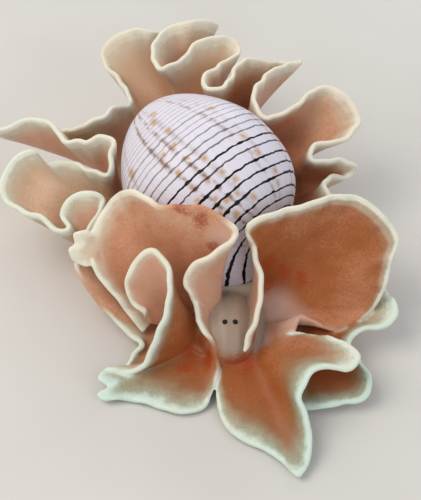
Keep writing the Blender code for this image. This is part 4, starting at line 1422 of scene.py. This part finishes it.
@dataclass
class PaperBubbleShell:
    """The wide last whorl of the shell, with the coordinates of its spiral lines."""

    centre: Place = (-0.76, 8.0, 20.0)
    axis: Place = (0.691, -0.668, -0.276)
    half_length: float = 19.4
    lip_radius: float = 18.8
    growth: float = 1.5
    lip_angle: float = 110.0
    aperture_angle: float = 30.0
    front_fullness: float = 2.8
    rear_fullness: float = 1.45
    lip_flare: float = 12.0
    lip_flare_sharpness: int = 10
    lip_fullness: float = 4.2
    lip_flare_angle: float = 60.0
    spire_width: float = 4.5
    spire_depth: float = 1.6
    turn_steps: int = 420
    ramp_steps: int = 24
    length_steps: int = 300
    # How far a line at each angle lies above its height at 20 degrees
    drift_angles: tuple[float, ...] = (-120, -60, -30, -12, -2, 4, 12, 20, 33, 38, 47, 52, 62, 110)
    drift_mm: tuple[float, ...] = (
        1.6, 1.3, 1.15, 1.05, 0.75, 0.45, 0.2, 0.0, -0.2, -0.45, -0.5, -0.75, -1.0, -1.3
    )
    # Share of that drift at each distance along the axis from the middle
    drift_levels: Place = (8.0, 16.5, 19.4)
    drift_shares: Place = (1.0, 0.35, 0.0)
    # The lines grow wider towards the lip, between these angles
    bolder: float = 0.9
    bolder_from: float = 60.0
    bolder_to: float = 95.0
    spot_strength: float = 0.75
    # Where a tan spot starts to fade and where it ends, in its half widths
    spot_core: float = 0.1
    spot_reach: float = 1.3
    # Angle at the front end, angle at the spire, half width in degrees and strength of each mark
    growth_marks: tuple[tuple[float, float, float, float], ...] = (
        (-2.0, 6.0, 2.0, 0.6), (-9.0, -2.0, 2.5, 0.25), (31.0, 42.0, 1.7, 1.0),
        (41.0, 53.0, 1.8, 1.0), (24.0, 33.0, 2.4, 0.3), (68.0, 80.0, 2.0, 0.35),
        (-38.0, -30.0, 2.2, 0.45), (-72.0, -66.0, 2.0, 0.5), (-118.0, -110.0, 2.6, 0.4),
        (-170.0, -160.0, 2.2, 0.45), (-215.0, -205.0, 2.4, 0.4),
    )
    # Angle, height and half width in millimetres of each tan spot
    tan_spots: tuple[tuple[float, float, float], ...] = (
        (-5.0, 8.3, 0.9), (-5.0, 4.2, 1.0), (27.0, 2.9, 0.8), (25.0, 7.1, 0.7), (22.0, 9.7, 0.8),
        (20.0, 14.0, 0.8), (40.0, 14.0, 0.8), (30.0, -7.0, 0.9), (33.0, -11.3, 1.0),
        (27.0, -13.2, 0.9), (75.0, -7.6, 1.3), (-12.0, 12.6, 0.8), (-10.0, 14.6, 0.7),
        (41.0, 9.6, 0.6), (46.0, 5.0, 0.6), (28.0, 11.8, 0.6), (-8.0, -4.9, 0.8),
        (36.0, 6.2, 0.8), (37.0, 11.2, 0.8), (48.0, 12.2, 0.9), (50.0, 7.6, 0.8),
        (35.0, 0.5, 0.7), (45.0, 1.2, 0.8), (34.0, -3.6, 0.7), (44.0, -3.8, 0.7),
        (-45.0, 6.0, 1.0), (-60.0, 11.0, 0.9), (-90.0, 3.0, 1.0), (-85.0, -5.0, 0.9),
        (-130.0, 8.0, 1.0), (-150.0, -2.0, 0.9), (-190.0, 5.0, 1.0),
    )
    finish: LinedShell = field(default_factory=LinedShell)

    def surface(
        self, turn: np.ndarray, along: np.ndarray
    ) -> tuple[np.ndarray, np.ndarray, np.ndarray]:
        """Points of the shell's outside.

        Args:
            turn: Parts of a turn from the lip.
            along: 0 at the front pole to 1 at the spire.

        Returns:
            The points, the unflared height of each along the axis, and its distance from it.
        """
        axis = unit(np.array(self.axis))
        top = unit(UP - axis * (UP @ axis))
        side = unit(np.cross(axis, top))
        angle = np.radians(self.lip_angle + 360 * turn)
        drop = np.clip(turn * 360 / self.aperture_angle, 0.0, 1.0)
        size = self.growth ** np.minimum(turn, 0)
        size = size + (self.growth ** (turn - 1) - size) * drop
        flare = np.maximum(0.0, 1 + np.minimum(turn, 0) * 360 / self.lip_flare_angle)
        flare = np.where(turn > 0, 1 - drop, flare)
        bearing = math.pi * along
        ahead = np.cos(bearing)
        front = ahead > 0
        level = self.half_length * ahead
        reach = np.abs(ahead) ** self.lip_flare_sharpness * np.sin(2 * bearing)
        height = level + np.where(front, self.lip_flare * flare**2 * reach, 0.0)
        fullness = np.where(
            front, self.front_fullness + self.lip_fullness * flare**2, self.rear_fullness
        )
        inside = np.maximum(0.0, 1 - np.abs(ahead) ** fullness)
        radius = self.lip_radius * inside**0.5 * size
        hollow = self.spire_depth * (1 - smoothstep(radius, 0.0, self.spire_width))
        height = height + np.where(front, 0.0, hollow)
        outwards = top * np.cos(angle)[..., None] + side * np.sin(angle)[..., None]
        points = np.array(self.centre) + outwards * radius[..., None] + axis * height[..., None]
        return points, level, radius

    def build(self) -> bpy.types.Object:
        """Builds the shell, tells its mesh where the lines run, and dresses it.

        Returns:
            The shell.
        """
        ramp = self.aperture_angle / 360
        turns = np.concatenate([
            np.linspace(0.0, ramp, self.ramp_steps, endpoint=False),
            np.linspace(ramp - 1, 0.0, self.turn_steps, endpoint=False),
        ])
        along = np.linspace(0.0, 1.0, self.length_steps + 1)[1:-1]
        turn_grid, along_grid = np.meshgrid(turns, along, indexing="ij")
        points, level, radius = self.surface(turn_grid, along_grid)
        steps = np.linalg.norm(np.gradient(points, axis=1), axis=2)
        stretch = steps / np.abs(np.gradient(level, axis=1))
        columns, rows = points.shape[:2]
        faces = grid_faces(columns, rows, closed=True).tolist()
        poles = self.surface(np.array([0.0, 0.0]), np.array([0.0, 1.0]))[0]
        everything = np.concatenate([points.reshape(-1, 3), poles])
        for pole, row in ((columns * rows, 0), (columns * rows + 1, rows - 1)):
            ring = [k * rows + row for k in range(columns)]
            faces += [[a, b, pole] for a, b in zip(ring, ring[1:] + ring[:1])]
        shell = new_object("snail_shell", everything, faces)
        degrees = self.lip_angle + 360 * turn_grid
        for name, values in self._marks(level, degrees, radius, stretch).items():
            at_poles = values[0, [0, -1]]
            tell(shell.data, name, np.concatenate([values.ravel(), at_poles]))
        shell.data.materials.append(self.finish.material())
        shell.data.shade_smooth()
        return shell

    def _marks(
        self, level: np.ndarray, degrees: np.ndarray, radius: np.ndarray, stretch: np.ndarray
    ) -> dict[str, np.ndarray]:
        """Where each point lies between the spiral lines, and how marked the ground is.

        Args:
            level: Heights along the axis.
            degrees: Angles about the axis.
            radius: Distances from the axis.
            stretch: Length along the surface over the length along the axis.

        Returns:
            The shell's attributes.
        """
        heights, widths, darkness = np.array(SPIRAL_LINES).T
        share = np.interp(np.abs(level), self.drift_levels, self.drift_shares)
        place = level - np.interp(degrees, self.drift_angles, self.drift_mm) * share
        number = np.interp(place, heights, np.arange(len(heights), dtype=float))
        nearest = np.round(number).astype(int)
        bolder = 1 + self.bolder * smoothstep(degrees, self.bolder_from, self.bolder_to)
        return {
            "line_number": number,
            "spacing_mm": np.interp(place, heights, np.gradient(heights)) * stretch,
            "width_mm": widths[nearest] * bolder,
            "darkness": darkness[nearest],
            "sweep_mm": np.radians(degrees) * self.lip_radius,
            "growth": self._growth(level, degrees),
            "spots": self._spots(level, degrees, radius),
        }

    def _growth(self, level: np.ndarray, degrees: np.ndarray) -> np.ndarray:
        """How brown the growth marks are: old lips that run from the front end to the spire.

        Args:
            level: Heights along the axis.
            degrees: Angles about the axis.

        Returns:
            0 to 1 for each point.
        """
        along = (self.half_length - level) / (2 * self.half_length)
        total = np.zeros_like(level)
        for front, spire, half, strength in self.growth_marks:
            off = (degrees - front - (spire - front) * along) / half
            total = np.maximum(total, strength * np.exp(-(off**2)))
        return total

    def _spots(self, level: np.ndarray, degrees: np.ndarray, radius: np.ndarray) -> np.ndarray:
        """How tan the squarish spots between the lines are.

        Args:
            level: Heights along the axis.
            degrees: Angles about the axis.
            radius: Distances from the axis.

        Returns:
            0 to 1 for each point.
        """
        total = np.zeros_like(level)
        for angle, height, half in self.tan_spots:
            across = np.radians(degrees - angle) * radius / half
            off = (across**4 + ((level - height) / half) ** 4) ** 0.25
            fade = 1 - smoothstep(off, self.spot_core, self.spot_reach)
            total = np.maximum(total, self.spot_strength * fade)
        return total


@dataclass
class Eye:
    """One of the two small eyes, sunk in the top of the head."""

    name: str
    side: int
    middle: Place = (3.8, -23.0, 9.7)
    spacing: float = 2.0
    radius: float = 0.5
    finish: EyePigment = field(default_factory=EyePigment)

    def build(self) -> bpy.types.Object:
        """Builds the eye as a low lens and dresses it.

        Returns:
            The eye.
        """
        place = np.array(self.middle) + (self.side * self.spacing / 2, 0.0, 0.0)
        lens = Oval(tuple(place), (self.radius,) * 3, rings=20, segments=32).form()
        eye = new_object(self.name, lens.points, lens.faces)
        eye.data.materials.append(self.finish.material())
        eye.data.shade_smooth()
        return eye


@dataclass(frozen=True)
class SoftBox:
    """A square studio lamp behind cloth."""

    name: str
    place: Place
    width: float
    watts: float
    colour: str
    aim: Place = (0.0, 0.0, 0.01)

    def build(self) -> None:
        """Hangs the lamp and points it at the snail."""
        lamp = bpy.data.lights.new(self.name, "AREA")
        lamp.size = self.width
        lamp.energy = self.watts
        lamp.color = linear(self.colour)[:3]
        made = placed(self.name, lamp)
        made.location = self.place
        towards = Vector(self.aim) - made.location
        made.rotation_euler = towards.to_track_quat("-Z", "Y").to_euler()


@dataclass
class Studio:
    """Pale floor, soft light and the camera at the photograph's viewing angle."""

    floor_half: float = 1.5
    floor_points: int = 13
    world_colour: str = "E8ECF0"
    world_strength: float = 0.56
    boxes: tuple[SoftBox, ...] = (
        SoftBox("key_box", (-0.2, -0.06, 0.32), 0.24, 0.85, "FFF8EE"),
        SoftBox("fill_box", (0.24, -0.25, 0.22), 0.3, 0.4, "EEF4FF"),
        SoftBox("back_box", (0.1, 0.32, 0.2), 0.2, 0.35, "FFFFFF"),
    )
    eye_point: Place = (0.0, -135.0, 155.0)
    pitch: float = 48.0
    focal_pixels: float = 940.0
    frame_height: float = 500.0
    sensor_mm: float = 36.0
    near_clip: float = 0.01
    finish: PaleFloor = field(default_factory=PaleFloor)

    def build(self) -> None:
        """Sets the floor, the light and the camera."""
        self._floor()
        self._world()
        for box in self.boxes:
            box.build()
        self._camera()

    def _floor(self) -> None:
        """Lays a wide board whose upper face is the floor the snail crawls on."""
        count = self.floor_points
        steps = np.linspace(-self.floor_half, self.floor_half, count) / MM
        x, y = np.meshgrid(steps, steps, indexing="ij")
        points = np.stack([x, y, np.zeros_like(x)], axis=-1).reshape(-1, 3)
        floor = new_object("studio_floor", points, grid_faces(count, count).tolist())
        floor.data.materials.append(self.finish.material())

    def _world(self) -> None:
        """Lights everything a little from all round."""
        world = bpy.data.worlds.new("studio_light")
        world.use_nodes = True
        sky = world.node_tree.nodes["Background"]
        sky.inputs["Color"].default_value = linear(self.world_colour)
        sky.inputs["Strength"].default_value = self.world_strength
        bpy.context.scene.world = world
        bpy.context.scene.view_settings.view_transform = "Standard"

    def _camera(self) -> None:
        """Places the camera by the photograph's frame of 421 by 500 pixels."""
        lens = bpy.data.cameras.new("photo_view")
        lens.sensor_width = self.sensor_mm
        lens.lens = self.focal_pixels / self.frame_height * self.sensor_mm
        lens.clip_start = self.near_clip
        camera = placed("photo_view", lens)
        camera.location = to_frame(self.eye_point)
        camera.rotation_euler = (math.radians(90 - self.pitch), 0.0, 0.0)
        bpy.context.scene.camera = camera


FLESH_NODES = (
    "head", "foot_sole", "trunk", "lobe_rear_right", "lobe_rear_left", "lobe_front_right",
    "lobe_front_left", "frill_front_right", "frill_right", "frill_rear_right",
    "frill_tail_right", "frill_tail", "frill_tail_left", "frill_rear_left", "frill_left",
    "frill_front_left",
)


def main() -> None:
    """Builds the snail piece by piece, then the studio round it."""
    logging.basicConfig(level=logging.INFO, format="%(message)s")
    skin = SnailSkin().build()
    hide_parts(*FLESH_NODES)
    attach(skin, "root")
    LOG.info("skin: %d faces", len(skin.data.polygons))

    shell = PaperBubbleShell().build()
    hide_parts("shell")
    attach(shell, "root")
    LOG.info("shell: %d faces", len(shell.data.polygons))

    for name, side in (("right", -1), ("left", 1)):
        eye = Eye(f"snail_eye_{name}", side).build()
        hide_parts(f"eye_{name}")
        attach(eye, "root")
        LOG.info("eye: %s", name)

    Studio().build()


if __name__ == "__main__":
    main()
